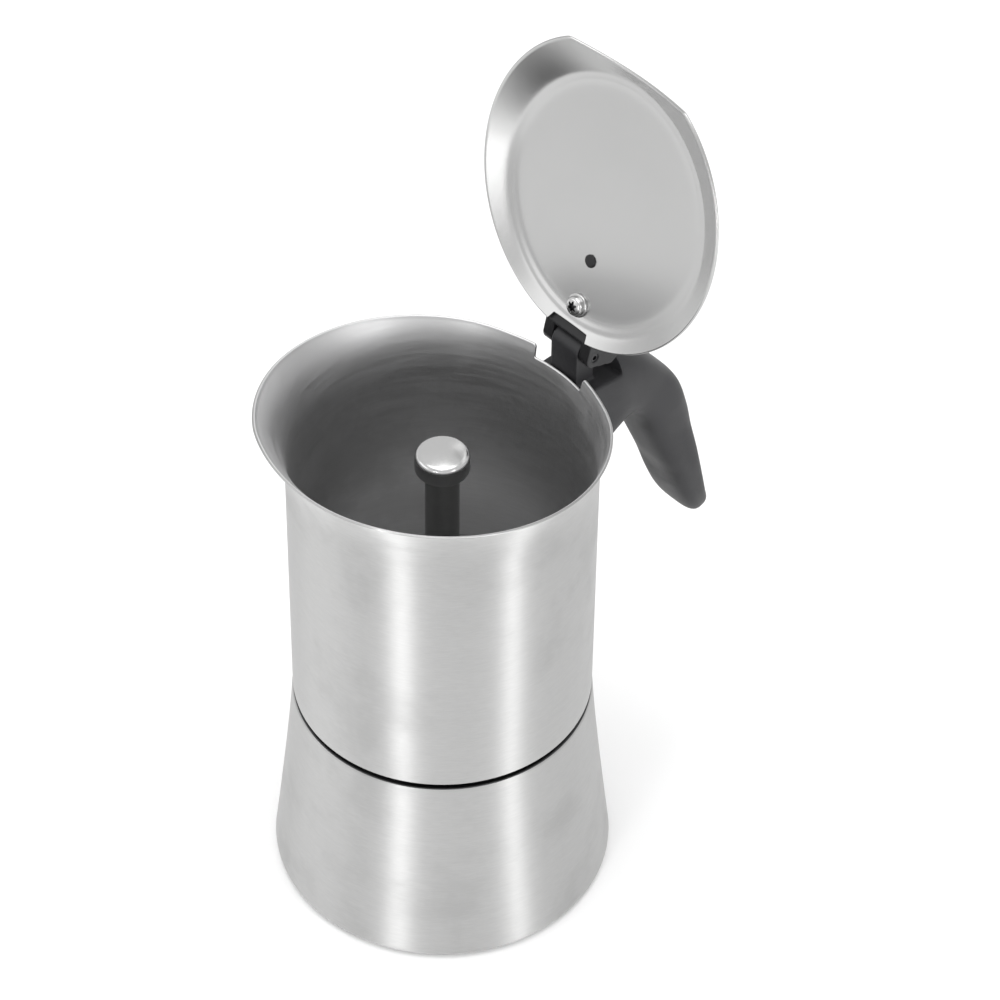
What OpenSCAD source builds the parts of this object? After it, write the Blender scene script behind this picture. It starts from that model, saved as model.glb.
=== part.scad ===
// Stovetop moka pot: a flared steel boiler, a screwed-on collector with a flared
// rim, a hinged lid, and the funnel, filter, gasket and safety valve inside.
// Millimetres. The origin is the centre of the boiler's underside, +Z is up,
// +X points to the handle and -X to the spout. The lid is drawn fully open.

/* [Boiler] */
// Height of the boiler's shoulder
shoulder_z = 69; // [62:0.5:76]
// How much wider the boiler's shoulder is than the collector
waist_step = 0.2; // [-0.1:0.1:1]
// How much wider the boiler is at its foot
base_spread = 7.2; // [4:0.2:9]
// How late the side swells towards the foot
spread_power = 1.17; // [1:0.01:1.4]
// Rounding of the foot
foot_round = 2.5; // [1.5:0.1:3.5]
// Height of the shell's foot above the table
foot_lift = 0.4; // [0.2:0.1:0.8]
// Rounding of the shoulder
shoulder_round = 1.8; // [1:0.1:2.5]
// Step in from the collector's wall to the threaded neck
neck_step = 7; // [6.5:0.1:10]
// Height of the neck above the shoulder
neck_h = 13; // [11:0.5:15]
// Thickness of the heat-spreading disc
disc_h = 4.2; // [3:0.1:6]
// Thickness of the pressed steel sheet
wall = 0.8; // [0.6:0.05:1]

/* [Collector] */
// Radius of the collector
collector_r = 45; // [42:0.1:48]
// Gap between the shoulder and the collector
seam_gap = 1.9; // [1:0.1:3]
// Height of the rim over the collector's lower edge, on the pot's axis
rim_h = 104.7; // [100:0.5:108]
// Slope of the rim, rising from the hinge to the spout
rim_slope = 7.1; // [5:0.1:8]
// How far the flare leans out at the spout
flare_reach = 9.2; // [8.6:0.1:11]
// Height of the flared band, below the rim at the spout
flare_h = 31.3; // [28:0.5:34]
// How late the flare turns outwards
flare_power = 2.95; // [2.6:0.05:3]
// How far past the straight wall the spout's lip starts to dip
lip_start = 1; // [-3:0.1:5]
// Drop of the spout's lip at the reach of the flare
lip_drop = 2; // [0:0.1:3]
// Gap beside the lever's cheeks in the rim's notch
notch_gap = 0.8; // [0.5:0.1:1.2]
// Depth of the notch under the rim
notch_depth = 4.3; // [4:0.1:5]
// Thickness of the threaded ring
ring_t = 1.5; // [1:0.1:2]
// Gap between the neck and the threaded ring, where the threads engage
thread_gap = 0.9; // [0.7:0.05:1.1]

/* [Coffee column] */
// Radius of the column
column_r = 5; // [4:0.1:6]
// Height of the column's cap, measured from the collector's lower edge
cap_top_h = 92; // [80:0.5:94]
// Radius of the cap's skirt
cap_r = 8; // [7:0.1:9]
// Height of the cap
cap_h = 7; // [6:0.1:8]
// Rise of the collector's floor towards the column
dome_h = 5; // [3:0.5:8]
// Height of the outlet slots in the column
outlet_h = 4; // [3:0.1:4.5]

/* [Funnel, gasket and filter] */
// Depth of the coffee basket
basket_depth = 24; // [18:0.5:28]
// Thickness of the funnel's sheet
funnel_t = 0.6; // [0.5:0.05:0.8]
// Radius of the funnel's tube
tube_r = 4; // [3.5:0.1:5]
// Gap between the funnel's tube and the boiler's floor
tube_gap = 5; // [3:0.5:8]
// Thickness of the gasket
gasket_t = 2.5; // [2:0.1:3]
// Width of the gasket under the boiler's neck
gasket_w = 7; // [5:0.5:9]
// Thickness of the perforated plates
filter_t = 0.7; // [0.5:0.05:0.9]
// Radius of each filter hole
hole_r = 1.1; // [0.8:0.1:1.4]
// Spacing of the filter holes
hole_pitch = 6.2; // [5:0.1:8]

/* [Lid] */
// Gap between the closed lid's edge and the flare around it
lid_gap = 0.35; // [0.3:0.05:1.5]
// Height of the closed lid's edge above the rim at the hinge
lid_rise = 0.6; // [0.4:0.1:1]
// Slope of the lid's flange
flange_slope = 29; // [25:0.5:32]
// Height of the flat panel over the lid's edge, on the pot's axis
panel_rise = 5.3; // [4.5:0.1:6.5]
// Tilt of the flat panel
panel_tilt = 3.4; // [2:0.1:5]
// Distance from the straight wall back to the lid's cut-off front
front_cut = 6.3; // [5:0.1:9]
// Radius of the shallow curve of the cut-off front
front_curve_r = 240; // [150:10:400]
// Rounding of the front's corners
corner_r = 3; // [1:0.1:5]
// Gap beside the lever's cheeks in the notch of the lid's back edge
lid_notch_gap = 0.6; // [0.3:0.1:1]
// Depth of the notch in the lid's back edge
lid_notch_depth = 2.8; // [1.5:0.1:3]
// Opening angle of the lid
open_angle = 103.6; // [95:0.1:104]

/* [Hinge] */
// Distance from the collector's straight wall to the hinge pin
pin_out = 5.3; // [4.8:0.1:6.5]
// Height of the hinge pin above the rim at the hinge
pin_rise = 4.4; // [4:0.1:5]
// Radius of the hinge pin
pin_r = 1.3; // [1:0.05:1.4]
// Thickness of the lever's cheeks
cheek_t = 3.7; // [3:0.1:4.5]
// Radius of the knuckle's barrel
barrel_r = 3.6; // [3:0.1:3.8]
// Outer half width of the lever's cheeks
cheek_y = 9.4; // [8.5:0.1:9.6]
// Radius of the cheeks around the pin
cheek_r = 3.2; // [2.8:0.1:3.4]
// Thickness of the lever over the lid's screw
lever_t = 8.5; // [7.5:0.1:9.5]
// Distance from the panel's crease to the lid's screw
screw_inset = 3.9; // [3.9:0.1:6]
// Distance from the lid's screw to the lever's peg
peg_spacing = 14.6; // [12:0.1:18]
// Distance from the lever's peg to its front end
lever_end = 9.4; // [6:0.1:14]
// Radius of the peg
peg_r = 2.1; // [1.5:0.1:2.5]

/* [Handle] */
// How much wider the handle's top is than the rim's notch, on each side
handle_over = 0.4; // [0.2:0.1:1.5]
// Half width of the grip
grip_y = 8; // [7:0.1:9]
// Drop of the pocket's floor under the hinge pin
pocket_drop = 12; // [11:0.1:13]
// Distance from the pin to the pocket's back wall
pocket_back = 10.4; // [10.2:0.1:13]
// Thickness of the steel bracket
bracket_t = 1.2; // [1:0.1:1.6]
// Height of the bracket's tongue below the hinge pin
tongue_drop = 26; // [24:0.5:30]
// Distance from the hinge pin out to the tongue's end
tongue_out = 10; // [8:0.5:12]
// Distance from the hinge pin out to the handle screw
handle_screw_out = 5; // [4:0.5:6]
// Half of the width of the bracket's plate
plate_y = 7.5; // [6:0.5:8]
// Reach of the bracket's plate below its tongue
plate_drop = 18; // [12:0.5:20]
// Reach of the bracket's plate above its tongue
plate_rise = 4; // [2:0.5:4]
// Radius of the handle screw
handle_screw_r = 2; // [1.5:0.1:2.5]

/* [Safety valve] */
// Height of the valve
valve_z = 36; // [30:0.5:44]
// Radius of the valve's threaded shank
shank_r = 3.6; // [3.3:0.1:4.2]
// Length of the valve's body outside the boiler
valve_len = 8; // [7:0.1:10]
// Width across the flats of the valve's hexagon
hex_w = 13; // [12:0.1:16]
// Radius of the valve's stem
stem_r = 1; // [0.8:0.05:1.2]
// How far the stem stands out of the valve
stem_out = 2.4; // [1.8:0.1:4]

/* [Clearances] */
// Gap of fitted pieces that don't move
fit = 0.05; // [0.02:0.01:0.1]
// Running clearance of the hinge pin
running = 0.06; // [0.03:0.01:0.1]
// Gap of loose pieces that move
loose = 0.3; // [0.2:0.05:0.4]

/* [Hidden] */
$fn = 96;

steel = "silver";
dark_plastic = [0.2, 0.2, 0.21];
brass_tone = [0.8, 0.65, 0.35];

big = 200;          // reach of cutters
steps = 14;         // points along a computed curve

// Radii and distances from the pot's axis, all set by the collector's radius
waist_r = collector_r + waist_step;
neck_r = collector_r - neck_step;
gasket_bore_r = neck_r - gasket_w;
lip_x = collector_r + lip_start;
front_x = collector_r - front_cut;
pin_x = collector_r + pin_out;

// Half widths of the hinge, from the knuckle out
knuckle_y = cheek_y - cheek_t - loose;
lid_notch_y = cheek_y + lid_notch_gap;
notch_y = cheek_y + notch_gap;
handle_y = notch_y + handle_over;

// Heights, from the table up
neck_top = shoulder_z + neck_h;
rim_flange_top = neck_top + funnel_t;
gasket_top = rim_flange_top + gasket_t;
floor_z = gasket_top + filter_t;
collector_z = shoulder_z + seam_gap;
rim_z = collector_z + rim_h;
cap_top = collector_z + cap_top_h;

function rim_at(x) = rim_z - x * tan(rim_slope);

hinge_rim_z = rim_at(collector_r);
flare_top = rim_at(-collector_r - flare_reach);
flare_z = flare_top - flare_h;
pin_z = hinge_rim_z + pin_rise;
lid_z = hinge_rim_z + lid_rise;
panel_z = lid_z + panel_rise;
basket_z = rim_flange_top - basket_depth;
valve_slope = atan(base_spread * spread_power / shoulder_z
    * pow(1 - valve_z / shoulder_z, spread_power - 1));

function boiler_r(z) = waist_r + base_spread * pow(max(0, 1 - z / shoulder_z), spread_power);
function flare_lean(z) = flare_reach * pow(max(0, z - flare_z) / flare_h, flare_power);
function flare_slope(z) = flare_reach * flare_power / flare_h
    * pow(max(0, z - flare_z) / flare_h, flare_power - 1);
function shell_r(z) = collector_r + flare_lean(z);
function shell_inner_r(z) = shell_r(z) - wall * sqrt(1 + pow(flare_slope(z), 2));

// The lid's edge, and the distances along it from the pot's axis
lid_r = shell_inner_r(lid_z) - lid_gap;
crease_x = (lid_r * tan(flange_slope) - panel_rise) / (tan(flange_slope) - tan(panel_tilt));
screw_x = crease_x - screw_inset;
peg_x = screw_x - peg_spacing;
lever_x = peg_x - lever_end;

// Points of an arc of radius r about c, from angle a to angle b
function arc(c, r, a, b, n = 6) = [
    for (i = [0:n]) c + r * [cos(a + (b - a) * i / n), sin(a + (b - a) * i / n)]
];

// ---- Boiler ----

// Solid of revolution inside the boiler's outer skin, inset by a sheet's thickness
module boiler_solid(inset, bottom, bottom_round, top) {
    low = bottom + bottom_round;
    high = shoulder_z - shoulder_round;
    round_r = max(0.4, shoulder_round - inset);
    top_z = shoulder_z - inset;
    rotate_extrude()
        polygon(concat(
            [[0, bottom]],
            arc([boiler_r(low) - inset - bottom_round, low], bottom_round, -90, 0),
            [for (i = [1:steps]) let (z = low + (high - low) * i / steps)
                [boiler_r(z) - inset, z]],
            arc([boiler_r(high) - inset - round_r, top_z - round_r], round_r, 0, 90),
            [[neck_r - inset, top_z], [neck_r - inset, top], [0, top]]
        ));
}

module boiler_shell() {
    color(steel)
    difference() {
        union() {
            boiler_solid(0, foot_lift, foot_round, neck_top);
            at_valve()
                translate([0, 0, -wall])
                    cylinder(r = shank_r + 4.2, h = wall + pad_rise);
        }
        boiler_solid(wall, disc_h + wall, foot_round, neck_top + 1);
        recess_r = boiler_r(foot_lift + foot_round) - foot_round;
        translate([0, 0, -1])
            cylinder(r = recess_r, h = disc_h + 1);
        at_valve()
            translate([0, 0, -big / 10])
                cylinder(r = shank_r + fit, h = big / 5);
    }
}

module heat_disc() {
    edge_r = boiler_r(foot_lift + foot_round) - foot_round - fit;
    chamfer = disc_h / 5;
    color([0.75, 0.76, 0.78])
        rotate_extrude()
            polygon([[0, 0], [edge_r - chamfer, 0], [edge_r, chamfer],
                [edge_r, disc_h], [0, disc_h]]);
}

// ---- Safety valve, on the boiler's side; its own axis points outwards along Z ----

pad_rise = 0.5;
washer_t = 1;
nut_t = 3;
seat_t = 1;
cap_t = 1.2;
head_t = 1.2;
chamber_r = shank_r - 0.9;
valve_travel = 1;
wire_r = 0.3;

module at_valve() {
    translate([0, boiler_r(valve_z), valve_z])
        rotate([valve_slope - 90, 0, 0])
            children();
}

module valve_washer() {
    color("saddlebrown")
        at_valve()
            translate([0, 0, pad_rise])
                difference() {
                    cylinder(r = hex_w / 2, h = washer_t);
                    translate([0, 0, -1])
                        cylinder(r = shank_r + fit, h = washer_t + 2);
                }
}

module valve_body() {
    inner_end = -wall * 2 - nut_t - 1.2;
    outer_end = pad_rise + washer_t + valve_len;
    color(brass_tone)
        at_valve()
            difference() {
                union() {
                    translate([0, 0, pad_rise + washer_t])
                        cylinder(d = hex_w / cos(30), h = valve_len * 0.5, $fn = 6);
                    translate([0, 0, inner_end])
                        cylinder(r = shank_r, h = pad_rise + washer_t - inner_end);
                    translate([0, 0, pad_rise + washer_t])
                        cylinder(r = shank_r + 1.4, h = valve_len);
                }
                translate([0, 0, inner_end + seat_t])
                    cylinder(r = chamber_r, h = big / 5);
                translate([0, 0, inner_end - 1])
                    cylinder(r = stem_r + 0.4, h = seat_t + 2);
                translate([0, 0, outer_end - cap_t])
                    cylinder(r = chamber_r + 0.5, h = cap_t + 1);
            }
}

module valve_nut() {
    color(brass_tone)
        at_valve()
            translate([0, 0, -wall * 2 - nut_t])
                difference() {
                    cylinder(d = (hex_w - 1) / cos(30), h = nut_t, $fn = 6);
                    translate([0, 0, -1])
                        cylinder(r = shank_r + fit, h = nut_t + 2);
                }
}

module valve_cap() {
    outer_end = pad_rise + washer_t + valve_len;
    color(steel)
        at_valve()
            translate([0, 0, outer_end - cap_t])
                difference() {
                    cylinder(r = chamber_r + 0.5 - fit, h = cap_t);
                    translate([0, 0, -1])
                        cylinder(r = stem_r + running, h = cap_t + 2);
                }
}

module valve_piston() {
    seat_z = -wall * 2 - nut_t - 1.2 + seat_t;
    outer_end = pad_rise + washer_t + valve_len;
    color(steel)
        at_valve() {
            translate([0, 0, seat_z])
                cylinder(r = chamber_r - 0.15, h = head_t);
            cylinder_between(stem_r, seat_z + head_t, outer_end + stem_out);
        }
}

// A cylinder of radius r from one height to another
module cylinder_between(r, from, to) {
    translate([0, 0, from])
        cylinder(r = r, h = to - from);
}

module valve_spring() {
    start = -wall * 2 - nut_t - 1.2 + seat_t + head_t + wire_r;
    end = pad_rise + washer_t + valve_len - cap_t - valve_travel - wire_r - 0.2;
    coil_r = (stem_r + chamber_r) / 2;
    turns = 6;
    ring_count = turns * 12;
    sides = 6;
    points = [
        for (i = [0:ring_count], k = [0:sides - 1])
            let (turn = 360 * turns * i / ring_count, a = 360 * k / sides,
                out = coil_r + wire_r * cos(a))
                [out * cos(turn), out * sin(turn),
                    start + (end - start) * i / ring_count + wire_r * sin(a)]
    ];
    color(steel)
        at_valve()
            tube_skin(points, ring_count + 1, sides);
}

// A closed skin over rings of points, each ring holding the same number of sides
module tube_skin(points, rings, sides) {
    polyhedron(points, concat(
        [[for (k = [sides - 1:-1:0]) k]],
        [for (i = [0:rings - 2], k = [0:sides - 1])
            let (a = i * sides + k, b = i * sides + (k + 1) % sides)
                [a, b, b + sides, a + sides]],
        [[for (k = [0:sides - 1]) (rings - 1) * sides + k]]
    ), convexity = 6);
}

// ---- Funnel, gasket and filter ----

module funnel() {
    bowl_r = neck_r - wall - loose * 2;
    flange_r = neck_r + loose;
    throat_z = basket_z - (bowl_r - tube_r) * tan(15);
    tube_end = disc_h + wall + tube_gap;
    ledge = 1.2;
    color(steel)
        rotate_extrude()
            polygon([
                [flange_r, neck_top], [flange_r, rim_flange_top],
                [bowl_r - funnel_t, rim_flange_top], [bowl_r - funnel_t, basket_z],
                [bowl_r - funnel_t - ledge, basket_z],
                [tube_r - funnel_t, throat_z], [tube_r - funnel_t, tube_end],
                [tube_r, tube_end], [tube_r, throat_z - funnel_t],
                [bowl_r, basket_z - funnel_t - ledge * tan(15)], [bowl_r, neck_top]
            ]);
}

// A flat sieve with a triangular pattern of holes inside a plain border
module sieve(r, border, thickness) {
    row_h = hole_pitch * sqrt(3) / 2;
    rows = ceil(r / row_h);
    difference() {
        cylinder(r = r, h = thickness);
        for (j = [-rows:rows], i = [-rows:rows]) {
            x = (i + (abs(j) % 2) / 2) * hole_pitch;
            y = j * row_h;
            if (norm([x, y]) < r - border)
                translate([x, y, -1])
                    cylinder(r = hole_r, h = thickness + 2, $fn = 24);
        }
    }
}

module funnel_plate() {
    color(steel)
        translate([0, 0, basket_z])
            sieve(neck_r - wall - loose * 2 - funnel_t - fit, 3.5, filter_t);
}

module gasket() {
    color([0.86, 0.85, 0.82])
        translate([0, 0, rim_flange_top])
            difference() {
                cylinder(r = neck_r + thread_gap - loose, h = gasket_t);
                translate([0, 0, -1])
                    cylinder(r = gasket_bore_r, h = gasket_t + 2);
            }
}

module filter_plate() {
    color(steel)
        translate([0, 0, gasket_top])
            sieve(neck_r + thread_gap - loose, neck_r + 3 - gasket_bore_r, filter_t);
}

// ---- Collector ----

column_foot = 2;    // width of the column's foot ring

// Everything above the sloping rim, with the dip of the spout's lip
module above_rim() {
    tip_x = collector_r + flare_reach;
    rotate([90, 0, 0])
        linear_extrude(height = big, center = true)
            polygon([
                [big, rim_at(big)], [-lip_x, rim_at(-lip_x)],
                [-tip_x, rim_at(-tip_x) - lip_drop],
                [-big, rim_at(-tip_x) - lip_drop], [-big, big * 2], [big, big * 2]
            ]);
}

module collector_shell() {
    edge = wall / 2;
    last_z = flare_top + 1;
    flare = [for (i = [0:steps * 2]) flare_z + (last_z - flare_z) * i / (steps * 2)];
    color(steel)
    difference() {
        rotate_extrude()
            polygon(concat(
                [[collector_r - wall, collector_z], [collector_r - edge, collector_z],
                    [collector_r, collector_z + edge]],
                [for (z = flare) [shell_r(z), z]],
                [for (i = [len(flare) - 1:-1:0]) [shell_inner_r(flare[i]), flare[i]]]
            ));
        above_rim();
        rim_notch(0);
    }
}

// The notch in the rim, in front of the hinge, made smaller by a gap
module rim_notch(gap) {
    translate([collector_r / 2, gap - notch_y, hinge_rim_z - notch_depth + gap])
        cube([collector_r, (notch_y - gap) * 2, big]);
}

module collector_ring() {
    bore_r = neck_r + thread_gap;
    outer_r = collector_r - wall - fit;
    low = collector_z + seam_gap;
    color(steel)
        rotate_extrude()
            polygon([[bore_r, low], [outer_r, low], [outer_r, low + ring_t],
                [bore_r + ring_t, low + ring_t], [bore_r + ring_t, floor_z],
                [bore_r, floor_z]]);
}

module collector_floor() {
    outer_r = collector_r - wall - fit;
    flat_r = gasket_bore_r;
    inner_r = column_r + fit;
    color(steel)
        rotate_extrude()
            polygon([[outer_r, floor_z], [outer_r, floor_z + wall],
                [flat_r, floor_z + wall], [inner_r + column_foot, floor_z + dome_h + wall],
                [inner_r, floor_z + dome_h + wall], [inner_r, floor_z + dome_h],
                [flat_r, floor_z]]);
}

module column() {
    foot_z = floor_z + dome_h;
    top_z = cap_top - wall;
    slot_w = column_r * 0.9;
    color(steel)
    difference() {
        union() {
            cylinder_between(column_r, foot_z, top_z);
            cylinder_between(column_r + column_foot, foot_z + wall, foot_z + wall * 2);
        }
        cylinder_between(column_r - wall, foot_z - 1, top_z + 1);
        for (a = [0, 90])
            rotate([0, 0, a])
                translate([-slot_w / 2, -column_r * 2, top_z - outlet_h - wall])
                    cube([slot_w, column_r * 4, outlet_h]);
    }
}

module column_cap() {
    low = cap_top - cap_h;
    round_r = 1.8;
    color("gainsboro")
        rotate_extrude()
            polygon(concat(
                [[cap_r - wall, low], [cap_r, low]],
                arc([cap_r - round_r, cap_top - round_r + 0.4], round_r, 0, 80),
                [[0, cap_top + 0.8], [0, cap_top - wall],
                    [cap_r - wall - 1, cap_top - wall],
                    [cap_r - wall, cap_top - wall - 1]]
            ));
}

// ---- Handle ----

tongue_z = pin_z - tongue_drop;
tongue_t = 3.4;
tongue_y = plate_y - 2;
tongue_end = pin_x + tongue_out;
handle_screw_x = pin_x + handle_screw_out;
plate_low = tongue_z - plate_drop;
plate_high = tongue_z + plate_rise;
slot_gap = 0.15;        // gap round the bracket and the screw in the handle
seat_depth = 4;         // plastic between the tongue and the screw's head
screw_top = 8;          // reach of the handle screw above the tongue's middle

module handle_bracket() {
    color(steel)
    difference() {
        union() {
            intersection() {
                difference() {
                    cylinder_between(collector_r + fit + bracket_t, plate_low, plate_high);
                    cylinder_between(collector_r + fit, 0, big);
                }
                translate([0, -plate_y, 0])
                    cube([big, plate_y * 2, big]);
            }
            translate([collector_r + bracket_t / 2, -tongue_y, tongue_z - tongue_t / 2])
                cube([tongue_end - collector_r - bracket_t / 2, tongue_y * 2, tongue_t]);
        }
        translate([handle_screw_x, 0, 0])
            cylinder(r = handle_screw_r + fit, h = big);
    }
}

// Stations of the handle, as distances from the hinge pin: outer x and z, inner x
// and z, half width
stations = [
    [-8.3, -4, -8.3, -55, handle_y], [1.7, -3.5, 2.7, -44, handle_y],
    [10.7, -4, 10.7, -37.5, handle_y - 0.3], [19.7, -8.5, 16.2, -35, grip_y + 1.4],
    [29, -17.5, 20.5, -36.3, grip_y + 0.9], [36.9, -28.5, 24.3, -40.3, grip_y + 0.5],
    [41.2, -41, 27.7, -46.8, grip_y + 0.3], [43.7, -51, 31.7, -55.8, grip_y + 0.2],
    [47, -62.5, 36.5, -67, grip_y], [50, -74.5, 41.3, -78, grip_y - 0.4],
    [52.3, -84, 45.1, -86.5, grip_y - 1], [53.9, -89.5, 47.7, -92, grip_y - 2.2],
    [53.5, -93.2, 49.9, -94.6, grip_y - 4.4], [51.9, -95, 51.5, -95.2, 0.6]
];

// Smooth curve through four stations, between the second and the third
function blend(a, b, c, d, t) = 0.5 * (2 * b + (c - a) * t
    + (2 * a - 5 * b + 4 * c - d) * t * t + (3 * b - a - 3 * c + d) * t * t * t);
function station(i) = stations[max(0, min(len(stations) - 1, i))];
function signed_power(v, p) = sign(v) * pow(abs(v), p);

module handle_loft() {
    sides = 28;
    per_span = 3;
    rings = (len(stations) - 1) * per_span + 1;
    squareness = 0.72;
    points = [
        for (j = [0:rings - 1])
            let (i = floor(j / per_span), t = (j % per_span) / per_span,
                s = blend(station(i - 1), station(i), station(i + 1), station(i + 2), t),
                mid = [s[0] + s[2], s[1] + s[3]] / 2,
                half = [s[0] - s[2], s[1] - s[3]] / 2)
                for (k = [0:sides - 1])
                    let (a = 360 * k / sides,
                        p = mid + half * signed_power(cos(a), squareness))
                        [pin_x + p[0], s[4] * signed_power(sin(a), squareness), pin_z + p[1]]
    ];
    tube_skin(points, rings, sides);
}

// The collector's outside, grown by a gap, as a cutter
module collector_envelope(gap) {
    last_z = flare_top + 1;
    rotate_extrude()
        polygon(concat(
            [[0, 0], [collector_r + gap, 0]],
            [for (i = [0:steps]) let (z = flare_z + (last_z - flare_z) * i / steps)
                [shell_r(z) + gap, z]],
            [[0, last_z]]
        ));
}

module handle() {
    pocket_z = pin_z - pocket_drop;
    knuckle_root = 3;
    seat_z = tongue_z - tongue_t / 2 - seat_depth;
    head_r = handle_screw_r * 1.9;
    color(dark_plastic)
    difference() {
        union() {
            difference() {
                handle_loft();
                translate([0, -big / 2, pocket_z])
                    cube([pin_x + pocket_back, big, big]);
            }
            translate([pin_x - barrel_r, -knuckle_y, pocket_z - knuckle_root])
                cube([barrel_r * 2, knuckle_y * 2, pocket_drop + knuckle_root]);
            translate([pin_x, knuckle_y, pin_z])
                rotate([90, 0, 0])
                    cylinder(r = barrel_r, h = knuckle_y * 2);
        }
        difference() {
            collector_envelope(slot_gap);
            rim_notch(loose);
        }
        intersection() {
            cylinder_between(collector_r + fit + bracket_t + slot_gap,
                plate_low - slot_gap, plate_high + slot_gap);
            translate([0, -plate_y - slot_gap, 0])
                cube([big, (plate_y + slot_gap) * 2, big]);
        }
        translate([0, -tongue_y - slot_gap, tongue_z - tongue_t / 2 - slot_gap])
            cube([tongue_end + slot_gap, (tongue_y + slot_gap) * 2,
                tongue_t + slot_gap * 2]);
        translate([handle_screw_x, 0, 0]) {
            cylinder_between(head_r + slot_gap, 0, seat_z);
            cylinder_between(handle_screw_r + slot_gap, seat_z - 1, tongue_z);
            cylinder_between(handle_screw_r + fit, tongue_z, tongue_z + screw_top + 1);
        }
        translate([pin_x, big / 2, pin_z])
            rotate([90, 0, 0])
                cylinder(r = pin_r + fit / 2, h = big);
    }
}

module handle_screw() {
    seat_z = tongue_z - tongue_t / 2 - seat_depth;
    head_r = handle_screw_r * 1.9;
    head_h = handle_screw_r * 1.3;
    color("gray")
        translate([handle_screw_x, 0, 0])
            difference() {
                union() {
                    cylinder_between(handle_screw_r, seat_z - 0.1, tongue_z + screw_top);
                    cylinder_between(head_r, seat_z - head_h, seat_z);
                }
                cross_recess(seat_z - head_h - 1, head_r, head_h);
            }
}

// A cross for a screwdriver, cut upwards from just below a head
module cross_recess(z, head_r, head_h) {
    blade = head_r * 0.28;
    for (a = [0, 90])
        rotate([0, 0, a])
            translate([-head_r * 0.6, -blade / 2, z])
                cube([head_r * 1.2, blade, 1 + head_h * 0.6]);
}

module hinge_pin() {
    color("gray")
        translate([pin_x, cheek_y - loose, pin_z])
            rotate([90, 0, 0])
                cylinder(r = pin_r, h = (cheek_y - loose) * 2);
}

// ---- Lid, modelled closed and swung open about the pin ----

module swung_open() {
    translate([pin_x, 0, pin_z])
        rotate([0, open_angle, 0])
            translate([-pin_x, 0, -pin_z])
                children();
}

// A cone over the lid's edge, cut off by the tilted panel and moved in by a depth
module lid_solid(depth, bottom) {
    top_z = lid_z + lid_r * tan(flange_slope) - depth / cos(flange_slope);
    out_z = top_z - lid_r * tan(flange_slope);
    intersection() {
        rotate_extrude()
            polygon(depth > 0
                ? [[0, bottom], [lid_r, bottom], [lid_r, out_z], [0, top_z]]
                : [[0, bottom], [lid_r - wall * sin(flange_slope), bottom],
                    [lid_r, lid_z], [0, top_z]]);
        on_panel(0)
            translate([-big / 2, -big / 2, -big - depth])
                cube([big, big, big]);
    }
}

// Rounds a corner between the lid's round edge and the curve of its cut-off front:
// a wedge over the corner, without the circle of radius corner_r that nearly touches
// both edges and crosses each at a small angle
module front_corner() {
    curve_x = -front_x - front_curve_r;
    inset = corner_r * 0.97;
    from_axis = lid_r - inset;
    from_curve = front_curve_r + inset;
    mid_x = (from_axis * from_axis - from_curve * from_curve + curve_x * curve_x)
        / (2 * curve_x);
    mid = [mid_x, sqrt(from_axis * from_axis - mid_x * mid_x)];
    reach = corner_r * 4;
    difference() {
        linear_extrude(height = big * 2)
            polygon([mid, mid + mid * reach / from_axis,
                mid + ([curve_x, 0] - mid) * reach / from_curve]);
        translate([mid[0], mid[1], -1])
            cylinder(r = corner_r, h = big * 2 + 2);
    }
}

module lid() {
    color(steel)
        swung_open()
            difference() {
                lid_solid(0, lid_z - wall * cos(flange_slope));
                lid_solid(wall, lid_z - wall * 4);
                translate([-front_x - front_curve_r, 0, 0])
                    cylinder(r = front_curve_r, h = big * 2);
                front_corner();
                mirror([0, 1, 0])
                    front_corner();
                translate([lid_r - lid_notch_depth, -lid_notch_y, 0])
                    cube([big, lid_notch_y * 2, big * 2]);
                on_panel(screw_x)
                    cylinder(r = screw_r + screw_hole_gap, h = big, center = true);
                on_panel(peg_x)
                    cylinder(r = peg_r + fit, h = big, center = true);
            }
}

screw_r = 1.5;
screw_head_r = 3;
screw_head_h = 2.1;
head_round = 1.3;
screw_hole_gap = 0.2;
lid_washer_rim = 0.6;   // how far the washer shows round the screw's head
lid_washer_t = 0.8;

// Places children on the panel's upper face at a distance from the pot's axis
module on_panel(x) {
    translate([0, 0, panel_z])
        rotate([0, panel_tilt, 0])
            translate([x / cos(panel_tilt), 0, 0])
                children();
}

// Side outline of the lever, closed: along the lid, around the pin and over the top
module lever_outline() {
    seat = 0.1;
    drop = tan(panel_tilt);
    edge_x = lid_r - 0.6;
    polygon([
        [lever_x, panel_z - lever_x * drop + seat],
        [crease_x, panel_z - crease_x * drop + seat],
        [edge_x, lid_z + (lid_r - edge_x) * tan(flange_slope) + seat * 2],
        [pin_x, pin_z - cheek_r],
        [pin_x + cheek_r, pin_z],
        [pin_x + cheek_r + 0.7, pin_z + lever_t - 0.8],
        [pin_x + 1, pin_z + lever_t + 2],
        [screw_x + 3, panel_z - screw_x * drop + lever_t + 1.4],
        [peg_x + 3, panel_z - peg_x * drop + lever_t * 0.72],
        [lever_x + 3, panel_z - lever_x * drop + lever_t * 0.45],
        [lever_x, panel_z - lever_x * drop + lever_t * 0.25]
    ]);
}

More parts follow.
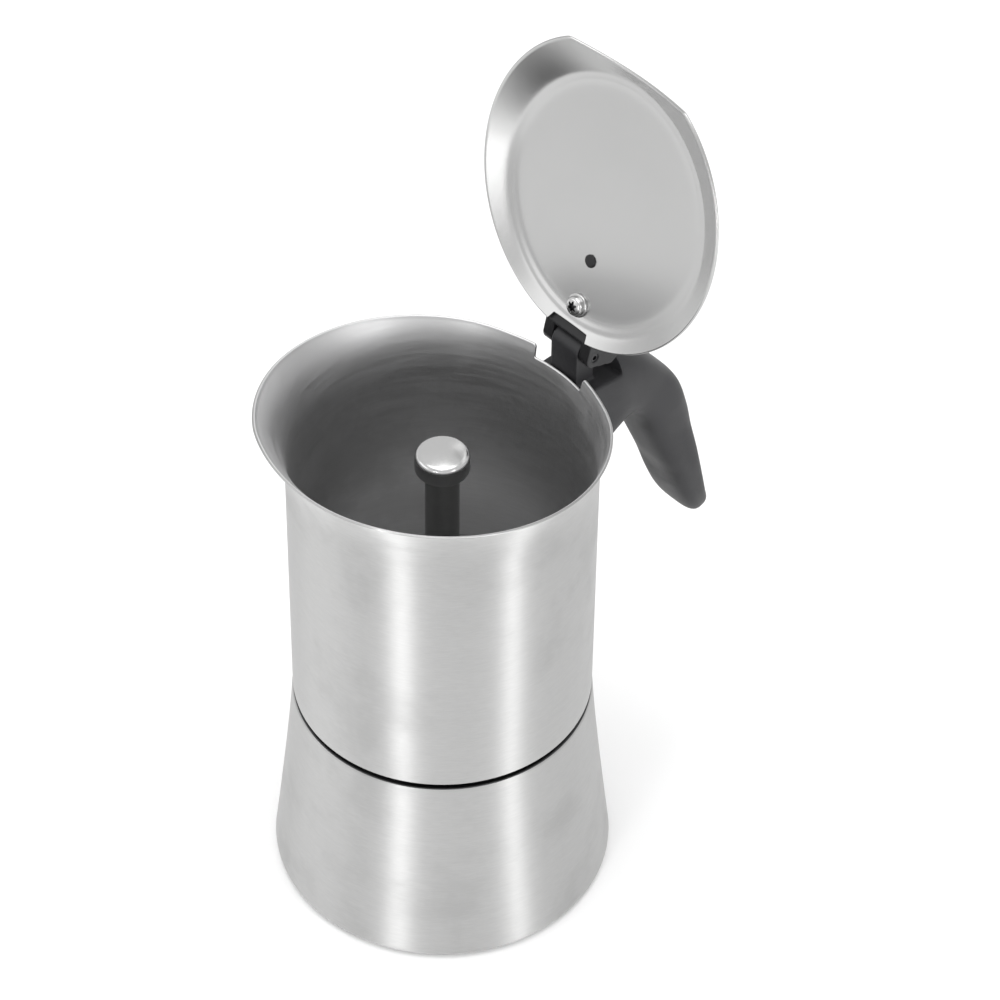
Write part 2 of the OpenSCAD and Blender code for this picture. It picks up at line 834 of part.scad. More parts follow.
module lid_lever() {
    hole_depth = lever_t - 1.5;
    color(dark_plastic)
        swung_open()
            difference() {
                union() {
                    rotate([90, 0, 0])
                        linear_extrude(height = cheek_y * 2, center = true)
                            lever_outline();
                    translate([pin_x, cheek_y, pin_z])
                        rotate([90, 0, 0])
                            cylinder(r = cheek_r, h = cheek_y * 2);
                    on_panel(peg_x)
                        translate([0, 0, -wall - 0.3])
                            cylinder(r = peg_r, h = wall + 1);
                }
                knuckle_room();
                on_panel(screw_x)
                    translate([0, 0, -1])
                        cylinder(r = screw_r + fit, h = hole_depth + 1);
                translate([pin_x, big / 2, pin_z])
                    rotate([90, 0, 0])
                        cylinder(r = pin_r + running, h = big);
            }
}

// Room between the cheeks for the handle's knuckle, at every angle of the lid
module knuckle_room() {
    half = knuckle_y + loose;
    room_r = barrel_r + loose;
    translate([pin_x, half, pin_z])
        rotate([90, 0, 0])
            cylinder(r = room_r, h = half * 2);
    translate([pin_x, -half, pin_z])
        rotate([0, 90 - open_angle, 0])
            translate([0, 0, -big])
                cube([big, half * 2, big + room_r]);
    translate([pin_x - room_r, -half, pin_z - big])
        cube([big, half * 2, big]);
}

module lid_screw() {
    color("gainsboro")
        swung_open()
            on_panel(screw_x)
                translate([0, 0, -wall - lid_washer_t])
                    difference() {
                        union() {
                            cylinder_between(screw_r, -0.1, wall + lid_washer_t + lever_t - 2.5);
                            translate([0, 0, -screw_head_h])
                                rotate_extrude()
                                    polygon(concat([[0, screw_head_h], [0, 0]],
                                        arc([screw_head_r - head_round, head_round],
                                            head_round, -90, 0),
                                        [[screw_head_r, screw_head_h]]));
                        }
                        cross_recess(-screw_head_h - 1, screw_head_r, screw_head_h);
                    }
}

module lid_washer() {
    color(steel)
        swung_open()
            on_panel(screw_x)
                translate([0, 0, -wall - lid_washer_t])
                    difference() {
                        cylinder(r = screw_head_r + lid_washer_rim, h = lid_washer_t);
                        translate([0, 0, -1])
                            cylinder(r = screw_r + fit, h = lid_washer_t + 2);
                    }
}

boiler_shell();
heat_disc();
valve_washer();
valve_body();
valve_nut();
valve_cap();
valve_piston();
valve_spring();
funnel();
funnel_plate();
gasket();
filter_plate();
collector_shell();
collector_ring();
collector_floor();
column();
column_cap();
handle_bracket();
handle();
handle_screw();
hinge_pin();
lid();
lid_lever();
lid_screw();
lid_washer();
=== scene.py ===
"""A stovetop moka pot: visible pieces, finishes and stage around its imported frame."""

import math

import bmesh
import bpy
import numpy as np
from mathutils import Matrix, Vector


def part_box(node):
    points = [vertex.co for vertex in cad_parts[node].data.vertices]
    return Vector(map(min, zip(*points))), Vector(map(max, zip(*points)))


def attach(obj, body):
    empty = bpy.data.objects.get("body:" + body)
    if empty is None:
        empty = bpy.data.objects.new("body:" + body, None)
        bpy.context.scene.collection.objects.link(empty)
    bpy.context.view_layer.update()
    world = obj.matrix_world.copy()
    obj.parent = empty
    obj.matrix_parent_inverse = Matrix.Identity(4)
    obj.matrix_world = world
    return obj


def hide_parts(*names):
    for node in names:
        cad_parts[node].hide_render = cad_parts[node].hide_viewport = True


bl_info = {
    "name": "Moka Pot",
    "version": (1, 0, 0),
    "blender": (4, 5, 0),
    "location": "View3D > Sidebar > Moka Pot",
    "description": "Builds the pieces, finishes and stage of a stovetop moka pot",
    "category": "Add Mesh",
}

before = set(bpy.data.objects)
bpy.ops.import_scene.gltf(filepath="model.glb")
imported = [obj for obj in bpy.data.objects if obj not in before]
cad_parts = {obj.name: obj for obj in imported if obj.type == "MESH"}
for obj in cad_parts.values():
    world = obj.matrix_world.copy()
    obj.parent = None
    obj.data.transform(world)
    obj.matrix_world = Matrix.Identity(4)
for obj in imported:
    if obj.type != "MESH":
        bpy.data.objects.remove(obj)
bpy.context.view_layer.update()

MM = 0.001                      # pieces are worked out in millimetres
ROUND = 2 * math.pi
CUT, JOIN = "DIFFERENCE", "UNION"

# Forms and places besides the settings, in millimetres
BOILER_BEND = 1.17              # power of the boiler's swell towards its foot
FOOT_LIFT, FOOT_R = 0.4, 2.5    # height of the boiler's foot over the floor, its bend
FLARE_BEND = 2.95               # power of the flare towards the rim
FLARE_MORE = 0.9                # extra reach of the flare away from the hinge
LIP_FROM, LIP_BEND = 46, 1.4    # distance where the pouring lip starts to dip, its power
CAP_FLATTER = 0.8               # how much lower the cap's crown is than the frame's
LID_GAP = 0.6                   # height of the closed lid's edge over the rim's back
NOTCH_SOFT = 0.9                # radius of the corners of the rim's notch
LID_NOTCH_Y = 7.6               # half width of the notch in the lid's back edge
SCREW_X, PEG_X = 37.02, 22.42   # distances of the lid's screw and peg from the axis
VALVE_Z = 36.0                  # height of the safety valve
PAD_RISE, PAD_R = 0.5, 7.8      # the flat pad that is pressed out for it
TONGUE_DROP, BOLT_OUT = 26, 5   # the bracket's tongue under the pin, its screw beyond it
HEAD_DROP, HEAD_R = 5.7, 3.8    # top of that screw's head under the tongue, its radius
EYE_R = 3.2                     # radius of the lever's cheeks round the pin


# ---------------------------------------------------------------- settings

def length(name, description, value):
    """A length in metres that shows with its unit."""
    return bpy.props.FloatProperty(name=name, description=description, default=value,
                                   min=0, precision=4, subtype="DISTANCE", unit="LENGTH")


def angle(name, description, degrees):
    """An angle that shows in degrees."""
    return bpy.props.FloatProperty(name=name, description=description,
                                   default=math.radians(degrees), subtype="ANGLE")


def tint(name, description, value):
    """A linear colour."""
    return bpy.props.FloatVectorProperty(name=name, description=description, default=value,
                                         min=0, max=1, size=3, subtype="COLOR")


class MokaPotSizes(bpy.types.PropertyGroup):
    """Sizes of the pot, the same as those of its frame."""
    sheet: length("Sheet", "Thickness of the pressed steel", 0.0008)
    shoulder_z: length("Shoulder height", "Height of the boiler's shoulder", 0.069)
    waist_r: length("Waist radius", "Boiler radius at the shoulder", 0.0452)
    base_spread: length("Base spread", "How much wider the boiler is at its foot", 0.0072)
    neck_r: length("Neck radius", "Radius of the boiler's threaded neck", 0.038)
    neck_h: length("Neck height", "Height of the neck above the shoulder", 0.013)
    disc_h: length("Disc height", "Thickness of the heat-spreading disc", 0.0042)
    wall_r: length("Collector radius", "Outer radius of the collector", 0.045)
    wall_z: length("Collector bottom", "Height of the collector's lower edge", 0.0709)
    rim_z: length("Rim height", "Height of the sloping rim on the pot's axis", 0.1756)
    rim_slope: angle("Rim slope", "Slope of the rim, rising to the spout", 7.1)
    flare_reach: length("Flare reach", "How far the rim leans out at the spout", 0.0092)
    flare_h: length("Flare height", "Height of the flared band at the spout", 0.0313)
    lip_drop: length("Lip drop", "Drop of the pouring lip", 0.002)
    notch_y: length("Notch half width", "Half width of the rim's hinge notch", 0.0102)
    notch_depth: length("Notch depth", "Depth of the rim's hinge notch", 0.0043)
    cap_r: length("Cap radius", "Radius of the column's cap", 0.008)
    cap_h: length("Cap height", "Height of the column's cap", 0.007)
    lid_r: length("Lid radius", "Radius of the lid's lower edge", 0.0461)
    lid_cut: length("Lid front", "Distance from the axis to the lid's cut front", 0.0387)
    flange_slope: angle("Flange slope", "Slope of the lid's flange", 29)
    panel_rise: length("Panel rise", "Height of the lid's panel over its edge", 0.0053)
    panel_tilt: angle("Panel tilt", "Tilt of the lid's panel", 3.4)
    lid_open: angle("Lid opening", "Opening angle of the lid at rest", 103.6)
    pitch: length("Thread pitch", "Pitch of the collector's thread", 0.003)


class MokaPotColours(bpy.types.PropertyGroup):
    """Colours of the pot's finishes."""
    satin: tint("Satin steel", "Brushed outside of the pot", (0.54, 0.54, 0.537))
    inside: tint("Inner steel", "Duller inside of the collector", (0.565, 0.565, 0.568))
    plain: tint("Plain steel", "Drawn steel of the inner pieces", (0.55, 0.55, 0.545))
    lid: tint("Lid steel", "The lid", (0.46, 0.46, 0.458))
    # Painted reflection: a lighter colour for the inside near the rim, where the flare
    # reflects the bright room
    clean: tint("Painted reflection", "Inside of the collector near its rim", (0.69, 0.69, 0.692))
    # Painted shade: steel of the column, collector floor and cap's skirt, painted darker
    # for the shade inside the collector
    column: tint("Column steel in painted shade", "Column and collector floor", (0.28, 0.28, 0.281))
    # Dark steel of the hinge pin; on the boiler's shoulder and in the lid screw's recess it
    # is painted shade
    dark_steel_and_shade: tint("Dark steel and painted shade", "Hinge pin, shoulder and screw recess", (0.07, 0.07, 0.072))
    polished: tint("Polished steel", "Cap and lid screw", (0.56, 0.56, 0.558))
    disc: tint("Aluminium", "Heat-spreading disc", (0.74, 0.75, 0.77))
    handle: tint("Handle", "Moulded handle", (0.024, 0.024, 0.026))
    hinge: tint("Lever", "Moulded lid lever", (0.010, 0.010, 0.011))
    brass: tint("Brass", "Safety valve", (0.72, 0.52, 0.25))
    silicone: tint("Silicone", "Sealing ring", (0.78, 0.76, 0.70))
    fibre: tint("Fibre", "Valve washer", (0.30, 0.12, 0.06))


class MokaPotStage(bpy.types.PropertyGroup):
    """Camera and lights."""
    camera_at: bpy.props.FloatVectorProperty(
        name="Camera", description="Place of the camera", size=3,
        default=(-0.5241, -0.5923, 0.9058), subtype="TRANSLATION", unit="LENGTH")
    camera_pitch: angle("Camera pitch", "Tilt of the camera from straight down", 46.05)
    camera_turn: angle("Camera turn", "Turn of the camera about the vertical", -41.5)
    lens: bpy.props.FloatProperty(name="Lens", description="Focal length in millimetres",
                                  default=137.46, min=1)
    shift: bpy.props.FloatProperty(name="Shift", description="Sideways shift of the view",
                                   default=0.05785)
    floor: tint("Floor", "Colour of the floor", (0.93, 0.93, 0.93))
    daylight: bpy.props.FloatProperty(
        name="Surrounding light", description="Strength of the light from all around",
        default=0.9, min=0, max=10, subtype="FACTOR")
    key: bpy.props.FloatProperty(name="Key light", description="Power of the soft boxes",
                                 default=10.0, min=0, unit="POWER")


class Plan:
    """The sizes in millimetres and radians, and what follows from them."""

    def __init__(self):
        sizes = bpy.context.scene.moka_pot_sizes
        angles = ("rim_slope", "flange_slope", "panel_tilt", "lid_open")
        for key in MokaPotSizes.__annotations__:
            setattr(self, key, getattr(sizes, key) / (1 if key in angles else MM))
        self.slope = math.tan(self.rim_slope)
        self.flange = math.tan(self.flange_slope)
        self.tilt = math.tan(self.panel_tilt)
        self.panel_up = np.array([math.sin(self.panel_tilt), 0, math.cos(self.panel_tilt)])
        self.neck_top = self.shoulder_z + self.neck_h
        self.floor_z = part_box("collector_floor")[0].z / MM
        self.cap_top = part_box("column_cap")[1].z / MM - CAP_FLATTER
        self.hinge_rim = self.rim_z - self.wall_r * self.slope
        self.tip_r = self.wall_r + self.flare_reach
        self.flare_z = self.rim_z + self.tip_r * self.slope - self.flare_h
        low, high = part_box("hinge_pin")
        self.pin = np.array([(low.x + high.x) / 2, 0, (low.z + high.z) / 2]) / MM
        self.bolt_x, self.tongue_z = self.pin[0] + BOLT_OUT, self.pin[2] - TONGUE_DROP
        self.lid_z = self.hinge_rim + LID_GAP
        self.panel_z = self.lid_z + self.panel_rise
        self.foot_z = FOOT_LIFT + FOOT_R
        self.foot = self.boiler_r(self.foot_z) - FOOT_R

    def boiler_r(self, z):
        """Outer radius of the boiler: it swells evenly from the shoulder to the foot."""
        down = np.clip(1 - z / self.shoulder_z, 0, None)
        return self.waist_r + self.base_spread * down ** BOILER_BEND

    def wall(self, z):
        """Outer radius and lean of the collector: straight, then a trumpet-shaped flare."""
        up = np.clip(z - self.flare_z, 0, None) / self.flare_h
        radius = self.wall_r + self.flare_reach * up ** FLARE_BEND
        lean = self.flare_reach / self.flare_h * FLARE_BEND * up ** (FLARE_BEND - 1)
        return radius, lean

    def rim(self, x):
        """Height of the rim at a distance x towards the handle, with the lip's dip."""
        past_tip = 1.3
        dip = np.clip((-x - LIP_FROM) / (self.tip_r - LIP_FROM), 0, past_tip)
        return self.rim_z - x * self.slope - self.lip_drop * dip ** LIP_BEND

    def panel(self, x):
        """Height of the closed lid's panel at a distance x towards the handle."""
        return self.panel_z - x * self.tilt

    def on_panel(self, x):
        """The point of the closed lid's panel at that distance."""
        return np.array([x, 0, self.panel(x)])

    def crease(self, a):
        """Distance from the axis to where the lid's flange meets its panel, at an angle:
        there the flange's cone and the panel's plane have the same height."""
        return ((self.lid_r * self.flange - self.panel_rise)
                / (self.flange - np.cos(a) * self.tilt))


# ---------------------------------------------------------------- shapes

def points(*pairs):
    """A list of radius and height pairs as an array."""
    return np.array(pairs, float)


def arc(centre, radius, start, end, count=8):
    """Points on a circle about centre, from one angle to another in degrees."""
    t = np.radians(np.linspace(start, end, count))
    return np.column_stack([centre[0] + radius * np.cos(t), centre[1] + radius * np.sin(t)])


def ring(inner, outer, low, high, edge):
    """Closed profile of a flat ring: a quarter circle at each of its four corners."""
    corners = ((outer - edge, low + edge), (outer - edge, high - edge),
               (inner + edge, high - edge), (inner + edge, low + edge))
    return np.vstack([arc(corner, edge, start, start + 90, 4)
                      for corner, start in zip(corners, (-90, 0, 90, 180))])


def smooth(t):
    """From 0 to 1 with level ends: 3 t^2 - 2 t^3, with t kept from 0 to 1."""
    t = np.clip(t, 0, 1)
    return t * t * (3 - 2 * t)


def soft_min(a, b, soft):
    """The lower of two values, with their crossing rounded off:
    half of a + b - sqrt((a - b)^2 + soft^2)."""
    return 0.5 * (a + b - np.sqrt((a - b) ** 2 + soft ** 2))


def through(stations, per_span):
    """A smooth curve through rows of numbers, cubic between each pair of rows."""
    last = len(stations) - 1
    t = np.linspace(0, last, last * per_span + 1)
    i = np.clip(t.astype(int), 0, last - 1)
    f = (t - i)[:, None]
    a, b, c, d = (stations[np.clip(i + k, 0, last)] for k in (-1, 0, 1, 2))
    return 0.5 * (2 * b + (c - a) * f + (2 * a - 5 * b + 4 * c - d) * f ** 2
                  + (3 * b - a - 3 * c + d) * f ** 3)


def polar(r, a, z):
    """Points at a distance r and an angle a about Z: (r cos a, r sin a, z)."""
    return np.stack([r * np.cos(a), r * np.sin(a), z + 0 * a], -1)


def turned_points(profile, count=160):
    """A profile of (r, z) turned once about Z."""
    a = np.linspace(0, ROUND, count, endpoint=False)[:, None]
    return polar(profile[:, 0][None], a, profile[:, 1][None])


def rounded_edge(first, last, lift, count):
    """Half a turn of points from one edge over to another: their middle
    + half their distance cos t + lift sin t."""
    t = np.radians(np.linspace(0, 180, count))[1:-1][None, :, None]
    return (first + last) / 2 + (first - last) / 2 * np.cos(t) + lift * np.sin(t)


def capped(shape):
    """Closes a row of rings: each end ring is repeated in its own middle."""
    first, last = (np.repeat(shape[[k]].mean(1, keepdims=True), shape.shape[1], 1)
                   for k in (0, -1))
    return np.concatenate([first, shape, last])


def placed(origin, *axes):
    """A function that carries points from their own axes to a place and its directions:
    origin + x times the first direction + y times the second + z times the third."""
    return lambda shape: origin + shape @ np.array(axes, float)


def about_pin(shape, plan, turn):
    """Turns points about the hinge pin, an axis along Y: positive opens the lid."""
    rel = shape - plan.pin
    c, s = math.cos(turn), math.sin(turn)
    x = rel[..., 0] * c + rel[..., 2] * s
    z = -rel[..., 0] * s + rel[..., 2] * c
    return np.stack([x, rel[..., 1], z], -1) + plan.pin


# ---------------------------------------------------------------- meshes

def new_object(name, verts, faces):
    """Puts points, in millimetres, and faces into a linked object at the origin."""
    mesh = bpy.data.meshes.new(name)
    mesh.from_pydata((np.array(verts, float) * MM).tolist(), [], faces)
    obj = bpy.data.objects.new(name, mesh)
    bpy.context.scene.collection.objects.link(obj)
    return obj


def face_outwards(mesh, same_place=0.0):
    """Turns a mesh's faces outwards, after merging the points that lie in one place."""
    sliver = 1e-7
    work = bmesh.new()
    work.from_mesh(mesh)
    if same_place:
        bmesh.ops.remove_doubles(work, verts=work.verts, dist=same_place)
        bmesh.ops.dissolve_degenerate(work, edges=work.edges, dist=sliver)
    bmesh.ops.recalc_face_normals(work, faces=work.faces)
    work.to_mesh(mesh)
    work.free()


def shade(mesh, crease):
    """Shades smoothly up to creases sharper than an angle in degrees."""
    mesh.shade_smooth()
    mesh.set_sharp_from_angle(angle=math.radians(crease))


def grid(name, shape, close_u=True, close_v=False, crease=38, end_faces=False):
    """A skin over a grid: quad (i, j) joins points i, i + 1 across and j, j + 1 along,
    and the last row meets the first where the grid closes. Open ends can get a face."""
    across, along = shape.shape[:2]
    i = np.arange(across if close_u else across - 1)[:, None]
    j = np.arange(along if close_v else along - 1)[None, :]
    i_next, j_next = (i + 1) % across, (j + 1) % along
    quads = np.stack([i * along + j, i_next * along + j,
                      i_next * along + j_next, i * along + j_next], -1)
    faces = quads.reshape(-1, 4).tolist()
    if end_faces:
        faces += [list(range(along)), list(range((across - 1) * along, across * along))]
    obj = new_object(name, shape.reshape(-1, 3), faces)
    face_outwards(obj.data, same_place=2e-6)
    shade(obj.data, crease)
    return obj


def turned(name, profile, count=160, close=False, crease=38, place=None):
    """A turned piece; place moves its points from its own axis to where it belongs."""
    shape = turned_points(profile, count)
    return grid(name, place(shape) if place else shape, close_v=close, crease=crease)


def helix(name, radius, wide, tall, start_z, turns, pitch, outwards=True):
    """A thread: a low tooth carried along a helix, z = start + pitch a / 2 pi, whose
    height fades in and out over the first and last half turn."""
    steps_per_turn, thinnest = 72, 0.02
    tooth = points((-0.6, -0.12), (-0.28, 1), (0.28, 1), (0.6, -0.12))
    a = np.linspace(0, ROUND * turns, int(steps_per_turn * turns) + 1)[:, None]
    fade = np.clip(np.minimum(a, ROUND * turns - a) / math.pi, thinnest, 1)
    side = 1 if outwards else -1
    r = radius + side * tall * fade * tooth[:, 1][None]
    z = start_z + pitch * a / ROUND + wide * tooth[:, 0][None]
    return grid(name, polar(r, a, z), close_u=False, close_v=True, crease=30,
                end_faces=True)


def coil(name, radius, wire, low, high, turns, place):
    """A wound spring: circles of wire, (radius + wire cos b, z + wire sin b), carried
    along a helix about Z whose z rises evenly."""
    steps_per_turn, sides = 40, 10
    a = np.linspace(0, ROUND * turns, turns * steps_per_turn)[:, None]
    b = np.linspace(0, ROUND, sides, endpoint=False)[None]
    z = low + (high - low) * a / (ROUND * turns)
    shape = polar(radius + wire * np.cos(b), a, z + wire * np.sin(b))
    return grid(name, place(capped(shape)), close_u=False, close_v=True, crease=60)


def prism(one, other):
    """Points and faces of the closed volume between two matching outlines."""
    n = len(one)
    faces = [tuple(range(n)), tuple(range(2 * n - 1, n - 1, -1))]
    faces += [(k, (k + 1) % n, (k + 1) % n + n, k + n) for k in range(n)]
    return np.vstack([one, other]), faces


def slab(outline, y_low, y_high):
    """An outline of (x, z) points stretched from one y to another."""
    return prism(*([(x, y, z) for x, z in outline] for y in (y_low, y_high)))


def block(low, high):
    """A box between two opposite corners."""
    (x0, y0, z0), (x1, y1, z1) = low, high
    return slab([(x0, z0), (x1, z0), (x1, z1), (x0, z1)], y0, y1)


def rod(start, end, radius, sides=40):
    """A round bar between two points: circles about its ends, across its length."""
    start, end = np.array(start, float), np.array(end, float)
    axis = (end - start) / np.linalg.norm(end - start)
    upright = abs(axis[2]) > 0.9
    side = np.cross(axis, (1, 0, 0) if upright else (0, 0, 1))
    side /= np.linalg.norm(side)
    a = np.linspace(0, ROUND, sides, endpoint=False)[:, None]
    rim = radius * (side * np.cos(a) + np.cross(axis, side) * np.sin(a))
    return prism(start + rim, end + rim)


def raw(name, volume):
    """A closed volume, from its points and faces, with its faces outwards."""
    obj = new_object(name, *volume)
    face_outwards(obj.data)
    return obj


def moulded(base, steps, voxel, smoothing):
    """Joins and cuts volumes, then remeshes and smooths the result, which rounds its
    edges as a mould does. steps lists names, operations and volumes in order."""
    helpers = []
    for name, operation, volume in steps:
        made = isinstance(volume, bpy.types.Object)
        helpers.append(volume if made else raw(name, volume))
        change = base.modifiers.new(name, "BOOLEAN")
        change.operation, change.solver, change.object = operation, "EXACT", helpers[-1]
    skin = base.modifiers.new("skin", "REMESH")
    skin.mode = "VOXEL"
    skin.voxel_size = voxel * MM
    skin.use_smooth_shade = True
    soften = base.modifiers.new("soften", "SMOOTH")
    soften.factor = 0.5
    soften.iterations = smoothing
    bpy.context.view_layer.update()
    mesh = bpy.data.meshes.new_from_object(
        base.evaluated_get(bpy.context.evaluated_depsgraph_get()))
    base.modifiers.clear()
    for helper in helpers:
        bpy.data.objects.remove(helper)
    if not len(mesh.polygons):
        raise RuntimeError(f"{base.name} came out empty")
    base.data = mesh
    shade(mesh, 50)
    return base


def read(items, key, kind=np.float32):
    """One value of every item of a mesh: vectors as rows, whole numbers in a line."""
    width = 3 if kind is np.float32 else 1
    values = np.zeros(len(items) * width, kind)
    items.foreach_get(key, values)
    return values.reshape(-1, 3) if width == 3 else values


def put(obj, body, slot, finish, *nodes, second=None):
    """Sets a finished piece's body and finish, and the frame nodes it replaces; slot is not
    used.
    second gives another finish and a test that picks its faces by centre and normal."""
    mesh = obj.data
    mesh.materials.clear()
    mesh.materials.append(finished(finish))
    if second:
        other, test = second
        mesh.materials.append(finished(other))
        picked = test(read(mesh.polygons, "center"), read(mesh.polygons, "normal"))
        mesh.polygons.foreach_set("material_index", picked.astype(np.int32))
    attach(obj, body)
    if nodes:
        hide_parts(*nodes)


def dress(node, finish):
    """Gives a frame node that stays visible its finish."""
    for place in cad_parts[node].material_slots:
        place.link = "DATA"
        place.material = finished(finish)


def brushing_map(obj, turn_back=None):
    """Lays the UV map that the brushing follows. It runs around the pot's axis: u is the
    angle about Z, taken near that of the corner's face, so no face spans the seam, and v
    the height. On a piece that is turned back first it is flat: u is x and v is y."""
    flat_scale, height_scale = 10, 5
    mesh = obj.data
    co = read(mesh.vertices, "co")
    corner = read(mesh.loops, "vertex_index", np.int32)
    if turn_back:
        uv = (turn_back(co / MM) * MM)[corner][:, :2] * flat_scale
    else:
        centre = read(mesh.polygons, "center")
        corners = read(mesh.polygons, "loop_total", np.int32)
        middle = np.repeat(np.arctan2(centre[:, 1], centre[:, 0]), corners)
        a = np.arctan2(co[corner, 1], co[corner, 0]) - middle
        a = (a + math.pi) % ROUND - math.pi + middle
        uv = np.column_stack([a / ROUND, co[corner, 2] * height_scale])
    layer = mesh.uv_layers.new(name="brushing")
    layer.data.foreach_set("uv", uv.astype(np.float32).ravel())


# ---------------------------------------------------------------- finishes

def feed(tree, node, inputs):
    """Feeds a node's inputs: a socket is linked, and anything else is set as a value."""
    for key, value in inputs.items():
        if isinstance(value, bpy.types.NodeSocket):
            tree.links.new(value, node.inputs[key])
        else:
            node.inputs[key].default_value = value


def add_node(tree, kind, inputs, **settings):
    """A shader node with its settings, fed."""
    node = tree.nodes.new("ShaderNode" + kind)
    for key, value in settings.items():
        setattr(node, key, value)
    feed(tree, node, inputs)
    return node


def calc(tree, operation, *values):
    """A math node whose inputs are sockets or numbers."""
    return add_node(tree, "Math", dict(enumerate(values)), operation=operation).outputs[0]


def weighed(tree, total, *pairs):
    """A total to which values are added, each times its weight."""
    for value, weight in pairs:
        total = calc(tree, "MULTIPLY_ADD", value, weight, total)
    return total


def spread(tree, source, low, high, to_low=0.0, to_high=1.0):
    """Maps a value from one range to another, smoothly."""
    return add_node(tree, "MapRange", {
        "Value": source, "From Min": low, "From Max": high, "To Min": to_low,
        "To Max": to_high}, interpolation_type="SMOOTHSTEP").outputs["Result"]


def mixed(tree, kind, factor, low, high):
    """Goes from one colour or vector to another with a factor."""
    return add_node(tree, "Mix", {"Factor": factor, "A": low, "B": high},
                    data_type=kind).outputs["Result"]


def effect_group(name, settings, results):
    """An empty node group for an effect: it takes a place and its settings, each with a
    value, and puts out its results. Returns it with its input sockets and output node."""
    group = bpy.data.node_groups.new(name, "ShaderNodeTree")
    new_socket = group.interface.new_socket
    new_socket(name="Place", in_out="INPUT", socket_type="NodeSocketVector")
    for title, value in settings.items():
        new_socket(name=title, in_out="INPUT",
                   socket_type="NodeSocketFloat").default_value = value
    for title in results:
        new_socket(name=title, in_out="OUTPUT", socket_type="NodeSocketFloat")
    start, end = (group.nodes.new("NodeGroup" + kind) for kind in ("Input", "Output"))
    return group, start.outputs, end


def noises(group, end, *rows):
    """Feeds a group's results from noise, one row each: the result, the place, the
    noise's scale, detail and roughness, and its values that become 0 and 1."""
    for result, place, scale, detail, roughness, low, high in rows:
        cloud = add_node(group, "TexNoise", {"Vector": place, "Scale": scale,
                                             "Detail": detail, "Roughness": roughness})
        feed(group, end, {result: spread(group, cloud.outputs[0], low, high)})


def brushing_group():
    """Brush lines, wide streaks and smudges. Lines and streaks are noise stretched along
    the brushing: on round work it is read at (x / r, y / r, z), which has no seam, and on
    flat work at (x, y, z)."""
    group, given, end = effect_group(
        "steel brushing", {"Round": 1.0, "Along": 14.0, "Across": 2600.0},
        ("Lines", "Streaks", "Smudges"))
    x, y, z = add_node(group, "SeparateXYZ", {"Vector": given["Place"]}).outputs
    least_reach = 1e-4
    reach = calc(group, "SQRT", weighed(group, 0.0, (x, x), (y, y)))
    reach = calc(group, "MAXIMUM", reach, least_reach)
    along, across = given["Along"], given["Across"]
    coarse = calc(group, "MULTIPLY", along, 10.0)

    def scaled(*pairs):
        values = [calc(group, "MULTIPLY", value, scale) for value, scale in pairs]
        return add_node(group, "CombineXYZ", dict(enumerate(values))).outputs[0]
    flat = scaled((x, coarse), (y, across), (z, coarse))
    turn = scaled((calc(group, "DIVIDE", x, reach), along),
                  (calc(group, "DIVIDE", y, reach), along), (z, across))
    place = mixed(group, "VECTOR", given["Round"], flat, turn)
    noises(group, end,
           ("Lines", place, 1.0, 3.0, 0.65, 0.25, 0.75),
           ("Streaks", place, 0.22, 2.0, 0.5, 0.3, 0.7),
           ("Smudges", given["Place"], 38.0, 4.0, 0.6, 0.48, 0.72))


def grain_group():
    """Fine pimples and soft flow marks of moulded plastic or rubber."""
    group, given, end = effect_group("moulded grain", {"Fineness": 3000.0},
                                     ("Pimples", "Clouds"))
    noises(group, end,
           ("Pimples", given["Place"], given["Fineness"], 3.0, 0.6, 0.3, 0.7),
           ("Clouds", given["Place"], 70.0, 3.0, 0.55, 0.3, 0.7))


def new_material(name):
    """A new material with its node tree and its shader."""
    made = bpy.data.materials.new(name)
    made.use_nodes = True
    tree = made.node_tree
    shader = next(node for node in tree.nodes if node.type == "BSDF_PRINCIPLED")
    return made, tree, shader


def effect(tree, group, place, **values):
    """The results of an effect, placed in a material with its own values."""
    return add_node(tree, "Group", {"Place": place, **values},
                    node_tree=bpy.data.node_groups[group]).outputs


def tone(colour, factor=1.0):
    """A colour made darker or lighter, with full alpha."""
    return tuple(min(1.0, c * factor) for c in colour) + (1.0,)


def bump(tree, height, strength, depth):
    """A normal raised by a height."""
    return add_node(tree, "Bump", {"Strength": strength, "Distance": depth,
                                   "Height": height}).outputs[0]


